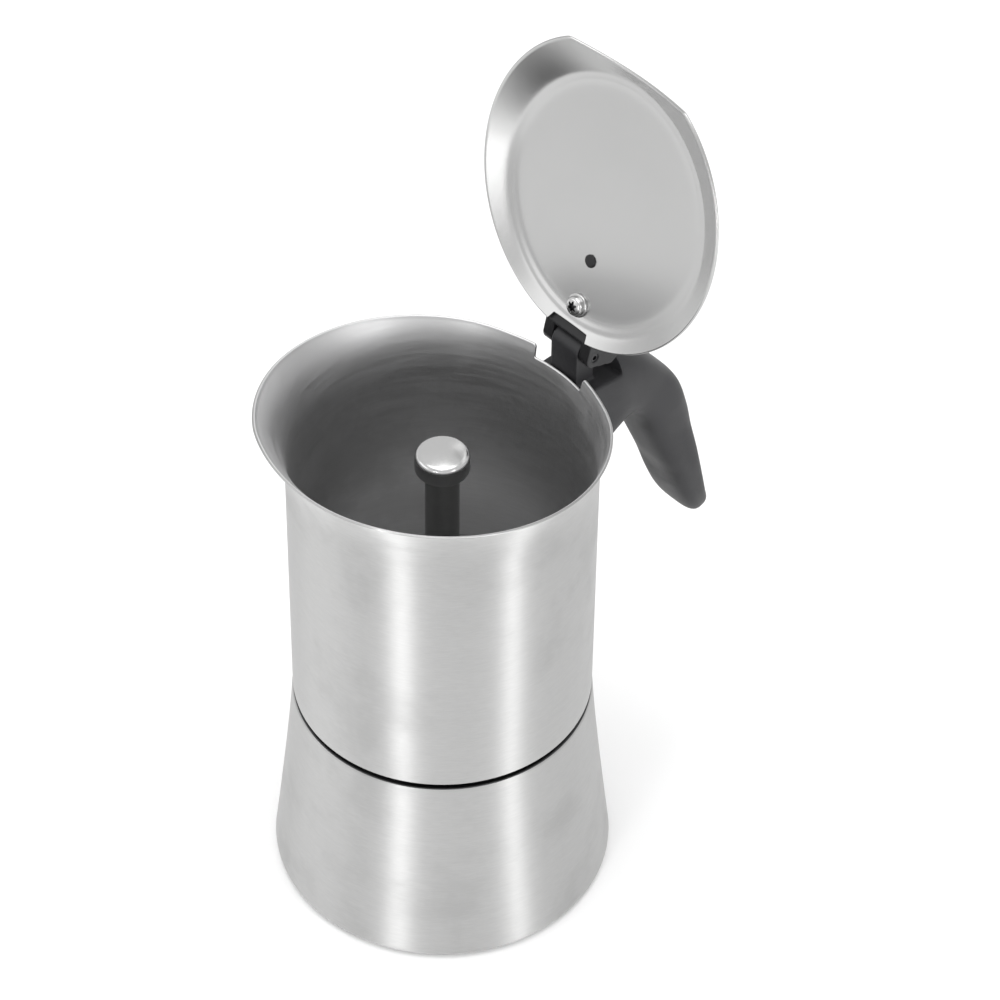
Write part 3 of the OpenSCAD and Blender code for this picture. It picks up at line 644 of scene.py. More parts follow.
def brushed(name, colour, rough, round_work=1.0, stretch=0.0, line=0.06, smudge=0.10,
            along=14.0, across=2600.0, turn_back=None, relief=0.12, clean=None):
    """Brushed steel: lines shift the colour and roughness, smudges dull it in patches.
    turn_back gives the place and turn of a piece's own axes. The last argument gives a
    colour and
    two heights: above them the steel is painted lighter, a painted reflection of the bright
    surroundings."""
    line_depth, waver = 0.00004, 0.004
    _, tree, shader = new_material(name)
    place = add_node(tree, "TexCoord", {}).outputs["Object"]
    if turn_back:
        place = add_node(tree, "Mapping", {"Vector": place, "Location": turn_back[0],
                                           "Rotation": turn_back[1]},
                         vector_type="TEXTURE").outputs[0]
    lines, streaks, smudges = effect(tree, "steel brushing", place, Round=round_work,
                                     Along=along, Across=across)
    shift = weighed(tree, 0.0, (lines, 0.55), (streaks, 0.45), (smudges, -smudge / line))
    hues = mixed(tree, "RGBA", shift, tone(colour, 1 - line), tone(colour, 1 + line))
    # Painted reflection: above the given heights the colour goes over to the lighter one
    if clean:
        reflection_colour, start_z, end_z = clean
        height = add_node(tree, "SeparateXYZ", {"Vector": place}).outputs["Z"]
        height = weighed(tree, height, (smudges, waver))
        rise = spread(tree, height, start_z * MM, end_z * MM)
        hues = mixed(tree, "RGBA", rise, hues, tone(reflection_colour))
    feed(tree, shader, {
        "Base Color": hues, "Metallic": 1.0,
        "Roughness": weighed(tree, rough, (streaks, 1.2 * line), (smudges, smudge)),
        "Normal": bump(tree, lines, relief, line_depth)})
    if stretch:
        along_map = add_node(tree, "Tangent", {}, direction_type="UV_MAP",
                             uv_map="brushing").outputs[0]
        feed(tree, shader, {"Anisotropic": stretch, "Anisotropic Rotation": 0.25,
                            "Tangent": along_map})


def moulding(name, colour, rough, fineness=3000.0, relief=0.25, mottled=0.12):
    """Matte plastic or rubber with a fine grain and faint clouds."""
    pimple_depth, smoother, rougher = 0.00008, 0.05, 0.07
    _, tree, shader = new_material(name)
    place = add_node(tree, "TexCoord", {}).outputs["Object"]
    pimples, clouds = effect(tree, "moulded grain", place, Fineness=fineness)
    shift = weighed(tree, 0.0, (clouds, 0.7), (pimples, 0.3))
    feed(tree, shader, {
        "Base Color": mixed(tree, "RGBA", shift, tone(colour, 1 - mottled),
                            tone(colour, 1 + mottled)),
        "Roughness": spread(tree, clouds, 0.0, 1.0, rough - smoother, rough + rougher),
        "Specular IOR Level": 0.35,
        "Normal": bump(tree, pimples, relief, pimple_depth)})


def make_finishes():
    """Makes all the finishes."""
    hue, plan = bpy.context.scene.moka_pot_colours, Plan()
    lid_axes = (tuple(plan.pin * MM), (0, plan.lid_open, 0))
    # Painted reflection: the inside is painted lighter from just above where the flare
    # starts
    clean = (hue.clean, plan.flare_z + 2, plan.flare_z + 12)
    brushing_group()
    grain_group()
    brushed("satin steel", hue.satin, 0.44, stretch=0.96, line=0.065, smudge=0.035)
    brushed("inner steel", hue.inside, 0.42, line=0.055, smudge=0.09, along=9, across=3000,
            relief=0.02, clean=clean)
    # Painted shade: the darker steel deep inside the collector
    brushed("column steel in painted shade", hue.column, 0.35, smudge=0.06, relief=0.03)
    brushed("lid steel", hue.lid, 0.235, round_work=0.0, stretch=0.6, line=0.01,
            smudge=0.01, along=3, across=4200, turn_back=lid_axes, relief=0.01)
    brushed("plain steel", hue.plain, 0.32, along=6, across=1400)
    brushed("polished steel", hue.polished, 0.20, line=0.02, smudge=0.03, relief=0.02)
    # Dark steel, also used as painted shade on the shoulder and in the screw recess
    brushed("dark steel and painted shade", hue.dark_steel_and_shade, 0.35)
    brushed("turned aluminium", hue.disc, 0.38, line=0.07, smudge=0.12, across=1800)
    brushed("machined brass", hue.brass, 0.25, across=1600)
    moulding("handle plastic", hue.handle, 0.52, mottled=0.2)
    moulding("lever plastic", hue.hinge, 0.42)
    moulding("sealing silicone", hue.silicone, 0.5, fineness=1500, relief=0.1, mottled=0.05)
    moulding("pressed fibre", hue.fibre, 0.8, fineness=2500, relief=0.6, mottled=0.25)


def finished(name):
    """A finish by name; all of them are made when the first is asked for."""
    if name not in bpy.data.materials:
        make_finishes()
    return bpy.data.materials[name]


# ---------------------------------------------------------------- boiler

def boiler_profile(plan):
    """The boiler's sheet in section, from the axis under the floor, round the foot, up
    the wall, over the shoulder and neck, down the inside and back to the axis."""
    t, foot, hem = plan.sheet, plan.foot, 1.5
    bend, inner_bend, fillet, lip = 1.0, 0.3, 0.9, 0.3
    high = plan.shoulder_z - bend
    top_r = plan.boiler_r(high) - bend
    floor_in = plan.disc_h + t
    inner_low = floor_in + FOOT_R
    z = np.linspace(plan.foot_z, high, 66)[1:-1]
    z_in = np.linspace(high, inner_low, 50)[1:-1]
    return np.vstack([
        points((0, plan.disc_h), (foot / 2, plan.disc_h), (foot, plan.disc_h),
               (foot, FOOT_LIFT + hem)),
        arc((foot, plan.foot_z), FOOT_R, -90, 0, 10),
        np.column_stack([plan.boiler_r(z), z]),
        arc((top_r, high), bend, 0, 90),
        arc((plan.neck_r + fillet, plan.shoulder_z + fillet), fillet, 270, 180, 6),
        arc((plan.neck_r - lip, plan.neck_top - lip), lip, 0, 90, 4),
        arc((plan.neck_r - t + lip, plan.neck_top - lip), lip, 90, 180, 4),
        points((plan.neck_r - t, plan.shoulder_z - t)),
        arc((top_r, high), inner_bend, 90, 0, 6),
        np.column_stack([plan.boiler_r(z_in) - t, z_in]),
        arc((plan.boiler_r(inner_low) - t - FOOT_R, inner_low), FOOT_R, 0, -90),
        points((foot / 2, floor_in), (0, floor_in))])


def valve_axes(plan):
    """Where the safety valve sits: a point on the wall, its sideways and upward
    directions and the wall's outward normal."""
    step = 0.01
    lean = (plan.boiler_r(VALVE_Z - step) - plan.boiler_r(VALVE_Z + step)) / (2 * step)
    centre = np.array([0, plan.boiler_r(VALVE_Z), VALVE_Z])
    side, normal = np.array([1, 0, 0]), np.array([0, 1, lean]) / math.hypot(1, lean)
    return centre, side, np.cross(normal, side), normal


def pressed_pad(shape, plan):
    """Presses a flat round pad outwards for the valve: within its radius every point of
    the wall is lifted along the normal to one plane, and the lift fades beyond it."""
    fade_from, fade_over, valve_side = PAD_R - 0.6, 1.6, -12
    centre, _, _, normal = valve_axes(plan)
    rel = shape - centre
    depth = rel @ normal
    aside = np.linalg.norm(rel - depth[..., None] * normal, axis=-1)
    fade = smooth(1 - (aside - fade_from) / fade_over) * (rel[..., 1] > valve_side)
    inner = depth + aside ** 2 / (2 * plan.boiler_r(VALVE_Z)) < -plan.sheet / 2
    target = np.where(inner, PAD_RISE - plan.sheet, PAD_RISE)
    return shape + ((target - depth) * fade)[..., None] * normal


def hexagon(name, profile, flats, place):
    """A turned piece cut by six flats: the radius at angle a is at most
    (flats / 2) / cos(a - nearest flat), where the profile is wide."""
    shape = turned_points(profile, 96)
    x, y = shape[..., 0], shape[..., 1]
    near = (np.arctan2(y, x) + math.pi / 6) % (math.pi / 3) - math.pi / 6
    limit = flats / 2 / np.cos(near)
    shape[..., :2] *= np.minimum(1, limit / np.maximum(np.hypot(x, y), 1e-6))[..., None]
    return grid(name, place(shape), close_v=True, crease=30)


class POT_OT_boiler(bpy.types.Operator):
    """Makes the boiler, its thread and its heat-spreading disc"""
    bl_idname = "moka_pot.boiler"
    bl_label = "Boiler"

    def execute(self, context):
        plan = Plan()
        shape = pressed_pad(turned_points(boiler_profile(plan), 288), plan)
        shell = grid("boiler_skin", shape, crease=42)
        brushing_map(shell)
        # Painted shade: the shoulder's top face, in the shade of the gap under the
        # collector, gets the dark steel
        painted_shade_z, painted_shade_r = (plan.shoulder_z - 0.25) * MM, (plan.neck_r - 0.2) * MM
        put(shell, "boiler", "satin_steel", "satin steel", "boiler_shell",
            second=("dark steel and painted shade", lambda centre, normal:
                    (centre[:, 2] > painted_shade_z)
                    & (np.hypot(centre[:, 0], centre[:, 1]) > painted_shade_r)))
        thread = helix("boiler_thread", plan.neck_r, wide=1.5, tall=0.45,
                       start_z=plan.shoulder_z + 3.4, turns=2.4, pitch=plan.pitch)
        put(thread, "boiler", "satin_steel", "plain steel")

        bevel, corner, edge = 0.2, 0.8, plan.foot - 0.05
        hub, band, groove, rows = 4, 3, 0.06, 24
        grooves = np.column_stack([np.linspace(edge - band, hub, rows),
                                   groove * (np.arange(rows) % 2)])
        disc = turned("base_disc", np.vstack([
            points((0, plan.disc_h), (edge - bevel, plan.disc_h),
                   (edge, plan.disc_h - bevel)),
            arc((edge - corner, corner), corner, 0, -90, 6), grooves, points((0, 0))]), 192)
        put(disc, "boiler", "disc_aluminium", "turned aluminium", "heat_disc")
        return {"FINISHED"}


class POT_OT_valve(bpy.types.Operator):
    """Makes the safety valve on the boiler's side"""
    bl_idname = "moka_pot.valve"
    bl_label = "Safety valve"

    def execute(self, context):
        place = placed(*valve_axes(Plan()))
        shank, chamber, stem, hole, fit = 3.6, 2.7, 1.0, 1.4, 0.05
        outer, inner, washer_top, flats, hex_r = 9.5, -5.8, 1.5, 13.0, 7.3
        barrel, hex_top = shank + 1.4, washer_top + 4.0
        cap_r, cap_low = chamber + 0.5, outer - 1.2
        body = points(
            (hole, inner), (shank, inner), (shank, washer_top), (flats / 2, washer_top),
            (hex_r, washer_top + 0.4), (hex_r, hex_top - 0.5), (flats / 2 - 0.2, hex_top),
            (barrel, hex_top), (barrel - 0.25, hex_top + 0.5), (barrel, hex_top + 1.0),
            (barrel, outer - 0.4), (barrel - 0.4, outer), (cap_r, outer), (cap_r, cap_low),
            (chamber, cap_low), (chamber, inner + 1), (hole, inner + 1))
        put(hexagon("valve_hexagon", body, flats, place),
            "boiler", "valve_brass", "machined brass", "valve_body")
        nut_low, nut_high, nut_r, bevel = -4.6, -1.6, 6.6, 0.3
        nut = points((shank + fit, nut_low), (nut_r - 0.4, nut_low),
                     (nut_r, nut_low + bevel), (nut_r, nut_high - bevel),
                     (nut_r - 0.4, nut_high), (shank + fit, nut_high))
        put(hexagon("valve_back_nut", nut, flats - 1, place),
            "boiler", "valve_brass", "machined brass", "valve_nut")
        seal = ring(shank + fit, flats / 2, PAD_RISE, washer_top, 0.2)
        put(turned("valve_seal", seal, 96, True, place=place),
            "boiler", "fibre_washer", "pressed fibre", "valve_washer")
        cap = ring(stem + 0.06, cap_r - fit, cap_low, outer, 0.12)
        put(turned("valve_end_cap", cap, 64, True, place=place),
            "boiler", "plain_steel", "plain steel", "valve_cap")
        seat_low, seat_high, seat_r, tip, end_r = -4.8, -3.6, 2.55, 11.5, 0.4
        piston = np.vstack([
            points((0, seat_low), (seat_r - 0.15, seat_low), (seat_r, seat_low + 0.2),
                   (seat_r, seat_high - 0.15), (seat_r - 0.15, seat_high),
                   (stem, seat_high), (stem, tip)),
            arc((stem - end_r, tip), end_r, 0, 90, 5), points((0, tip + end_r))])
        put(turned("valve_plunger", piston, 64, place=place),
            "valve_piston", "plain_steel", "plain steel", "valve_piston")
        spring = coil("valve_coil", radius=1.85, wire=0.3, low=-3.27, high=6.8, turns=6,
                      place=place)
        put(spring, "valve_piston", "plain_steel", "plain steel", "valve_spring")
        return {"FINISHED"}


# ---------------------------------------------------------------- funnel and filter

class POT_OT_filter(bpy.types.Operator):
    """Makes the coffee funnel and the gasket, and finishes the two sieves"""
    bl_idname = "moka_pot.filter"
    bl_label = "Funnel and filter"

    def execute(self, context):
        plan = Plan()
        t, tube_r, bend, ledge, depth = 0.6, 4.0, 0.8, 1.2, 24
        drop = math.tan(math.radians(15))
        top, rim_r = plan.neck_top + t, plan.neck_r + 0.3
        bowl, basket = plan.neck_r - plan.sheet - 0.6, top - depth
        throat = basket - (bowl - tube_r) * drop
        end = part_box("funnel")[0].z / MM
        profile = np.vstack([
            arc((rim_r - t / 2, top - t / 2), t / 2, -90, 90, 7),
            arc((bowl - t + bend, top - bend), bend, 90, 180, 6),
            points((bowl - t, basket), (bowl - t - ledge, basket),
                   (tube_r - t + 0.01, throat), (tube_r - t, end), (tube_r, end),
                   (tube_r, throat - t), (bowl, basket - t - ledge * drop),
                   (bowl, plan.neck_top - 0.3), (bowl + 0.3, plan.neck_top))])
        put(turned("funnel_skin", profile, close=True, crease=30),
            "funnel", "plain_steel", "plain steel", "funnel")
        low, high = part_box("gasket")
        seal_r, over_neck, edge = 31, 0.5, 0.5
        seal = ring(seal_r, plan.neck_r + over_neck, low.z / MM, high.z / MM, edge)
        put(turned("sealing_ring", seal, close=True, crease=60),
            "gasket", "pale_silicone", "sealing silicone", "gasket")
        dress("funnel_plate", "plain steel")
        dress("filter_plate", "plain steel")
        return {"FINISHED"}


# ---------------------------------------------------------------- collector

def rim_heights(plan, a):
    """Height of the rim around the wall: where the flared wall meets the sloping rim,
    found by stepping z = rim(r(z) cos a), and lowered to the notch's floor at the hinge,
    with rounded corners."""
    z = np.full(a.shape, plan.rim_z)
    rounds = 40
    for _ in range(rounds):
        z = plan.rim(plan.wall(z)[0] * np.cos(a))
    y = np.abs(plan.wall(z)[0] * np.sin(a))

    def quarter(across):
        return NOTCH_SOFT * (1 - np.sqrt(np.clip(1 - across ** 2, 0, 1)))
    edge = np.clip((y - plan.notch_y) / NOTCH_SOFT, 0, 1)
    foot = np.clip((y - plan.notch_y) / NOTCH_SOFT + 1, 0, 1)
    floor = plan.hinge_rim - plan.notch_depth + quarter(foot)
    notched = np.where(y < plan.notch_y, np.minimum(floor, z), z - quarter(1 - edge))
    return np.where((np.cos(a) > 0) & (y < plan.notch_y + NOTCH_SOFT), notched, z)


def around(plan):
    """Angles around the collector, close together at the sides of the notch."""
    beside, flare_there = 0.0004, 1.2
    half = math.asin(plan.notch_y / (plan.wall_r + flare_there))
    soft = NOTCH_SOFT / plan.wall_r
    edge = half + np.concatenate([np.linspace(-soft, 0, 7)[:-1] - beside,
                                  [-beside, beside], np.linspace(0, soft, 7)[1:] + beside])
    notch = np.linspace(-edge[0], edge[0], 20)[1:-1]
    plain = np.linspace(edge[-1], ROUND - edge[-1], 300)[1:-1]
    return np.concatenate([notch, edge, plain, (ROUND - edge)[::-1]])


def collector_points(plan):
    """The collector's sheet: for each angle the outer wall rises from the lower edge to
    the rim, turns over it and comes down inside, one sheet further in. Away from the
    hinge the flare opens a little more, with the square of its height."""
    a = around(plan)
    z_top = rim_heights(plan, a)
    t, low, lip, dense_from = plan.sheet, plan.wall_z, 0.36, 0.7
    start = low + t / 2
    near_hinge, fade_over = 0.35, 0.4
    up = np.concatenate([np.linspace(0, dense_from, 16)[:-1],
                         np.linspace(dense_from, 1, 40)])
    z = start + (z_top - lip - start)[:, None] * up[None]
    r, lean = plan.wall(z)
    inner_r = r - t * np.sqrt(1 + lean ** 2)
    climb = np.clip((z - plan.flare_z) / (z_top[:, None] - plan.flare_z), 0, 1)
    from_hinge = np.abs(np.arctan2(np.sin(a), np.cos(a)))[:, None]
    more = FLARE_MORE * climb ** 2 * smooth((from_hinge - near_hinge) / fade_over)
    outer = np.stack([r + more, z], -1)
    inner = np.stack([inner_r + more, z], -1)[:, ::-1]
    over = rounded_edge(outer[:, -1:], inner[:, :1], np.array([0, lip]), 9)
    hem = points((-t, 0.1), (0.1 - t, 0), (-0.4, 0), (-0.15, 0.08), (-0.03, 0.22))
    hem = np.broadcast_to(hem + [plan.wall_r, low], (len(a),) + hem.shape)
    section = np.concatenate([outer, over, inner, hem], 1)
    return polar(section[..., 0], a[:, None], section[..., 1])


def cap_profile(plan, skirt):
    """The column's cap in section, from the axis inside, round its lower edge and over a
    shoulder that ends at the skirt, to the shallow crown. It is closed at the axis."""
    t, top, r = plan.sheet, plan.cap_top, plan.cap_r
    base, bend, inner_bend, crown, edge = top - plan.cap_h, 2.0, 1.4, 38.3, 0.25
    return np.vstack([
        points((0, top - t - 0.4)),
        arc((r - t - inner_bend, skirt + bend - t - inner_bend), inner_bend, 90, 0, 7),
        arc((r - t / 2, base + edge), edge, 200, 340, 5),
        points((r, base + 0.6), (r, base + 3)),
        arc((r - bend, skirt), bend, 0, 80, 14),
        arc((0, top - crown), crown, 80.7, 90, 10)])


class POT_OT_collector(bpy.types.Operator):
    """Makes the collector, its threaded ring, floor, column and cap"""
    bl_idname = "moka_pot.collector"
    bl_label = "Collector"

    def execute(self, context):
        plan = Plan()
        wall = grid("collector_wall", collector_points(plan), close_v=True, crease=50)
        brushing_map(wall)
        inwards = -4 * MM       # faces that look at the axis have less centre . normal
        put(wall, "collector", "satin_steel", "satin steel", "collector_shell",
            second=("inner steel", lambda centre, normal:
                    (centre[:, :2] * normal[:, :2]).sum(1) < inwards))

        t, low, floor = plan.sheet, plan.wall_z + 1.9, plan.floor_z
        bore, outer, ring_t = plan.neck_r + 0.9, plan.wall_r - t - 0.05, 1.5
        lip, fillet = 0.3, 0.8
        profile = np.vstack([
            arc((bore + lip, low + lip), lip, 180, 270, 4),
            points((outer, low), (outer, low + ring_t)),
            arc((bore + ring_t + fillet, low + ring_t + fillet), fillet, 270, 180, 5),
            points((bore + ring_t, floor), (bore, floor))])
        put(turned("thread_ring", profile, close=True, crease=35),
            "collector", "plain_steel", "plain steel", "collector_ring")
        thread = helix("collector_thread", bore, wide=1.5, tall=0.28, start_z=low + 1.2,
                       turns=2.0, pitch=plan.pitch, outwards=False)
        put(thread, "collector", "plain_steel", "plain steel")

        edge, hub, hole, height = 31.0, 7.05, 5.05, 5
        rise = np.linspace(0, 1, 14)
        dome = np.column_stack([edge + (hub - edge) * rise,
                                floor + height * (0.4 * smooth(rise) + 0.6 * rise)])
        profile = np.vstack([
            points((hole, floor + height)), dome[::-1],
            points((outer, floor), (outer, floor + t)), dome + [0, t],
            points((hole, floor + height + t))])
        # Painted shade: the dish gets the darker column steel
        put(turned("collector_dish", profile, close=True, crease=45),
            "collector", "plain_steel", "column steel in painted shade", "collector_floor")

        skirt = plan.cap_top - 2.5
        # Painted shade: the cap's faces below the top of its skirt get the darker column
        # steel
        put(turned("column_top", cap_profile(plan, skirt), 128, crease=40),
            "collector", "polished_steel", "polished steel", "column_cap",
            second=("column steel in painted shade", lambda centre, normal:
                    centre[:, 2] < (skirt + 0.2) * MM))
        # Painted shade: the column gets the darker column steel
        dress("column", "column steel in painted shade")
        return {"FINISHED"}


# ---------------------------------------------------------------- handle

# Outer x and z, inner x and z, half width; heights count from the hinge pin
HANDLE_STATIONS = np.array([
    [42, -4, 42, -55, 10.6], [52, -3.5, 53, -44, 10.6], [60.2, -5.5, 61.7, -36.2, 11.2],
    [69.4, -10.3, 66.7, -33.8, 10.9], [79, -19.6, 70.3, -35.4, 10.7],
    [87.5, -30.4, 73.2, -40, 10.5], [92.1, -42.3, 75.8, -47.1, 10.2],
    [94.3, -51.9, 79.9, -56.3, 10.1], [97.2, -63.2, 85, -67.6, 10.2],
    [99.9, -75, 89.4, -78.9, 10.1], [102.2, -84.3, 93.2, -87.4, 9.5],
    [104.0, -89.6, 96.5, -92.4, 8.1], [103.9, -93.2, 99.9, -94.2, 5.7],
    [102.4, -95, 101.5, -94.8, 0.6]])


def handle_loft(plan):
    """The handle's body: rounded-square rings whose points are middle + half height
    times sign(cos a) |cos a|^p, and half width times sign(sin a) |sin a|^p."""
    power = 0.6
    s = through(HANDLE_STATIONS, 10)
    a = np.linspace(0, ROUND, 72, endpoint=False)[None]
    c, w = (np.sign(wave) * np.abs(wave) ** power for wave in (np.cos(a), np.sin(a)))
    mid, half = (s[:, 0:2] + s[:, 2:4]) / 2, (s[:, 0:2] - s[:, 2:4]) / 2
    x = mid[:, 0:1] + half[:, 0:1] * c
    z = mid[:, 1:2] + half[:, 1:2] * c + plan.pin[2]
    shape = capped(np.stack([x, s[:, 4:5] * w, z], -1))
    return grid("handle_grip", shape, close_u=False, close_v=True)


def star_recess(shape, face_z, reach, depth):
    """Sinks a six-lobed star into a turned head: near face_z, points closer to the axis
    than reach (1 + 0.28 cos 6a) move in by the depth, with steep walls."""
    lobes, wall, near_face = 0.28, 0.14, 0.7
    x, y = shape[..., 0], shape[..., 1]
    edge = reach * (1 + lobes * np.cos(6 * np.arctan2(y, x)))
    deep = depth * np.clip((edge - np.hypot(x, y)) / wall, 0, 1)
    moved = shape.copy()
    moved[..., 2] += deep * (np.abs(shape[..., 2] - face_z) < near_face)
    return moved


class POT_OT_handle(bpy.types.Operator):
    """Makes the moulded handle, its bracket, screw and hinge pin"""
    bl_idname = "moka_pot.handle"
    bl_label = "Handle"

    def execute(self, context):
        plan = Plan()
        self.grip(plan)
        self.screw(plan)
        self.hinge(plan)
        dress("handle_bracket", "plain steel")
        return {"FINISHED"}

    def grip(self, plan):
        """The moulding, cut to fit the wall, the steel bracket, its screw and the pin,
        with the hinge's knuckle standing in a pocket for the lever's cheeks."""
        px, pz, tongue, bolt_x = plan.pin[0], plan.pin[2], plan.tongue_z, plan.bolt_x
        gap, big = 0.15, 50
        knuckle, barrel, pocket, root, back = 5.4, 3.6, pz - 12, 3, 10.4
        plate_y, plate_low, plate_high, plate_out = 7.5, 18, 4, 46.4
        tongue_y, tongue_half, tongue_out = 5.5, 1.7, 10
        bolt_r, pin_bore = 2.0, 1.34
        wall_low, wall_high, under_notch = 60, 184, 165.6
        z = np.concatenate([[wall_low], np.linspace(plan.flare_z, wall_high, 24)])
        skin = np.column_stack([plan.wall(z)[0] + gap, z])
        wall = np.vstack([points((0, wall_low)), skin, points((0, wall_high))])
        front = plan.wall(under_notch)[0] + gap
        piece = moulded(handle_loft(plan), [
            ("pocket", CUT, block((0, -big, pocket), (px + back, big, 300))),
            ("wall", CUT, turned("wall", wall)),
            ("knuckle", JOIN, block((px - barrel, -knuckle, pocket - root),
                                    (px + barrel, knuckle, pz))),
            ("barrel", JOIN, rod((px, -knuckle, pz), (px, knuckle, pz), barrel, 64)),
            ("low front", CUT, block((40, -6, 150), (front, 6, under_notch))),
            ("plate", CUT, block((44, -plate_y - gap, tongue - plate_low - gap),
                                 (plate_out, plate_y + gap, tongue + plate_high + gap))),
            ("tongue", CUT, block(
                (45, -tongue_y - gap, tongue - tongue_half - gap),
                (px + tongue_out + gap, tongue_y + gap, tongue + tongue_half + gap))),
            ("screw", CUT, rod((bolt_x, 0, tongue - 7), (bolt_x, 0, tongue + 9),
                               bolt_r + gap)),
            ("head", CUT, rod((bolt_x, 0, 100), (bolt_x, 0, tongue - HEAD_DROP),
                              HEAD_R + gap)),
            ("pin", CUT, rod((px, -big, pz), (px, big, pz), pin_bore)),
        ], voxel=0.45, smoothing=3)
        put(piece, "collector", "black_plastic", "handle plastic", "handle")

    def screw(self, plan):
        """The screw that holds the handle, with its head down and a star in it."""
        head_top = plan.tongue_z - HEAD_DROP
        head_low, face_r, corner = head_top - 2.6, 2.9, 0.5
        shaft_r, end, bevel = 2, plan.tongue_z + 8, 0.5
        face = np.linspace(0, face_r, 24)
        profile = np.vstack([
            np.column_stack([face, np.full_like(face, head_low)]),
            arc((HEAD_R - corner, head_low + corner), corner, -90, 0, 4),
            points((HEAD_R, head_top), (shaft_r, head_top), (shaft_r, end - bevel),
                   (shaft_r - bevel, end), (0, end))])
        shape = star_recess(turned_points(profile, 96), head_low, reach=1.6, depth=1.4)
        put(grid("handle_bolt", shape + [plan.bolt_x, 0, 0], crease=35),
            "collector", "plain_steel", "plain steel", "handle_screw")

    def hinge(self, plan):
        """The hinge pin: a rod with rounded ends and a dimple in each."""
        r, end, dimple, dimple_r, corner = 1.3, 9.1, 0.7, 0.75, 0.15
        wall = dimple_r - 0.05
        profile = np.vstack([
            points((0, dimple - end), (wall, dimple - end), (dimple_r, -end)),
            arc((r - corner, corner - end), corner, -90, 0, 4),
            arc((r - corner, end - corner), corner, 0, 90, 4),
            points((dimple_r, end), (wall, end - dimple), (0, end - dimple))])
        along_y = placed(plan.pin, (1, 0, 0), (0, 0, -1), (0, 1, 0))
        put(turned("hinge_rod", profile, 48, place=along_y),
            "collector", "plain_steel", "dark steel and painted shade", "hinge_pin")


# ---------------------------------------------------------------- lid

def lid_outline(plan, a):
    """Distance from the axis to the lid's edge at each angle: the round edge, the
    shallow curve of the cut front and the straight back of the notch, joined softly."""
    curve, soft, far, apart, notch_in, step = 240.0, 0.45, 1e3, 40, 2.8, 0.3
    least = 0.3     # cosine up to which the front and the notch's back are worked out
    middle = plan.lid_cut + curve
    c, s = np.cos(a), np.sin(a)
    inside = np.clip(curve ** 2 - (middle * s) ** 2, 0, None)
    front = np.where(c < -least, -middle * c - np.sqrt(inside), far)
    edge = np.where(np.abs(front - plan.lid_r) > apart, np.minimum(front, plan.lid_r),
                    soft_min(front, plan.lid_r, soft))
    notch = (plan.lid_r - notch_in) / np.maximum(c, least)
    y = np.abs(edge * s)
    out_of_notch = np.clip((y - LID_NOTCH_Y + step) / (2 * step), 0, 1)
    back = np.minimum(notch + (edge - notch) * out_of_notch, edge)
    return np.where((c > 0) & (y < LID_NOTCH_Y + step), back, edge)


def lid_top(plan, x, y):
    """Height of the lid's upper face: the flange's cone or the panel's plane, whichever
    is lower, with a soft crease between them and a faint pressed bead along it."""
    soft, bead, bead_half, lift = 0.7, 0.28, 0.7, 0.02
    cone = plan.lid_z + (plan.lid_r - np.hypot(x, y)) * plan.flange
    panel = plan.panel(x)
    pressed = bead * np.exp(-((cone - panel) / bead_half) ** 2)
    return soft_min(cone, panel, soft) + lift - pressed


def lid_points(plan):
    """The lid's sheet, closed: rings from the middle to the edge on the upper face, a
    rounded edge, and the same rings back on the lower face, one sheet further down along
    the surface's normal. Angles are close together at the notch and at the cut front."""
    edge_r, step, rows, inside = 0.25, 0.02, 22, 1.2
    inner_power, outer_power = 1.6, 1.35
    notch = math.asin(LID_NOTCH_Y / plan.lid_r) + np.linspace(-0.02, 0.02, 13)
    front = (math.pi - math.acos(plan.lid_cut * 1.02 / plan.lid_r)
             + np.linspace(-0.12, 0.12, 25))
    a = np.concatenate([np.linspace(0, ROUND, 241)[:-1], notch, ROUND - notch, front,
                        ROUND - front])
    a = np.unique(np.round(a, 5))
    edge = lid_outline(plan, a)
    crease = np.minimum(plan.crease(a), edge - inside)[:, None]
    inner = 1 - (1 - np.linspace(0, 1, rows)) ** inner_power
    outer = np.linspace(0, 1, rows)[1:] ** outer_power
    flange = edge[:, None] - edge_r - crease
    rho = np.concatenate([crease * inner, crease + flange * outer], 1)
    x, y = rho * np.cos(a)[:, None], rho * np.sin(a)[:, None]

    def fall(dx, dy):
        return (lid_top(plan, x - dx, y - dy) - lid_top(plan, x + dx, y + dy)) / (2 * step)
    normal = np.stack([fall(step, 0), fall(0, step), np.ones_like(x)], -1)
    normal[:, 0] = plan.panel_up
    normal /= np.linalg.norm(normal, axis=-1, keepdims=True)
    upper = np.stack([x, y, lid_top(plan, x, y)], -1)
    lower = upper - plan.sheet * normal
    out = polar(np.ones_like(a), a, -plan.flange)[:, None]
    out /= np.linalg.norm(out, axis=-1, keepdims=True)
    rim = rounded_edge(upper[:, -1:], lower[:, -1:], edge_r * out, 7)
    return np.concatenate([upper, rim, lower[:, ::-1]], 1)


def lever_outline(plan):
    """The lever from the side, closed: along the lid, round the pin and over the top."""
    px, pz = plan.pin[0], plan.pin[2]
    front, middle, back, lap, seat, edge_in = 13, 22.4, 37.4, 3, 0.1, 0.6
    crease = plan.crease(0)
    return [(front, plan.panel(front) + seat), (crease, plan.panel(crease) + seat),
            (plan.lid_r - edge_in, plan.lid_z + edge_in * plan.flange + 0.2),
            (px, pz - EYE_R), (px + EYE_R, pz), (px + 3.9, pz + 7.7), (px + 1, pz + 10.5),
            (back + lap, plan.panel(back) + 9.9), (middle + lap, plan.panel(middle) + 6.1),
            (front + lap, plan.panel(front) + 3.8), (front, plan.panel(front) + 2.1)]


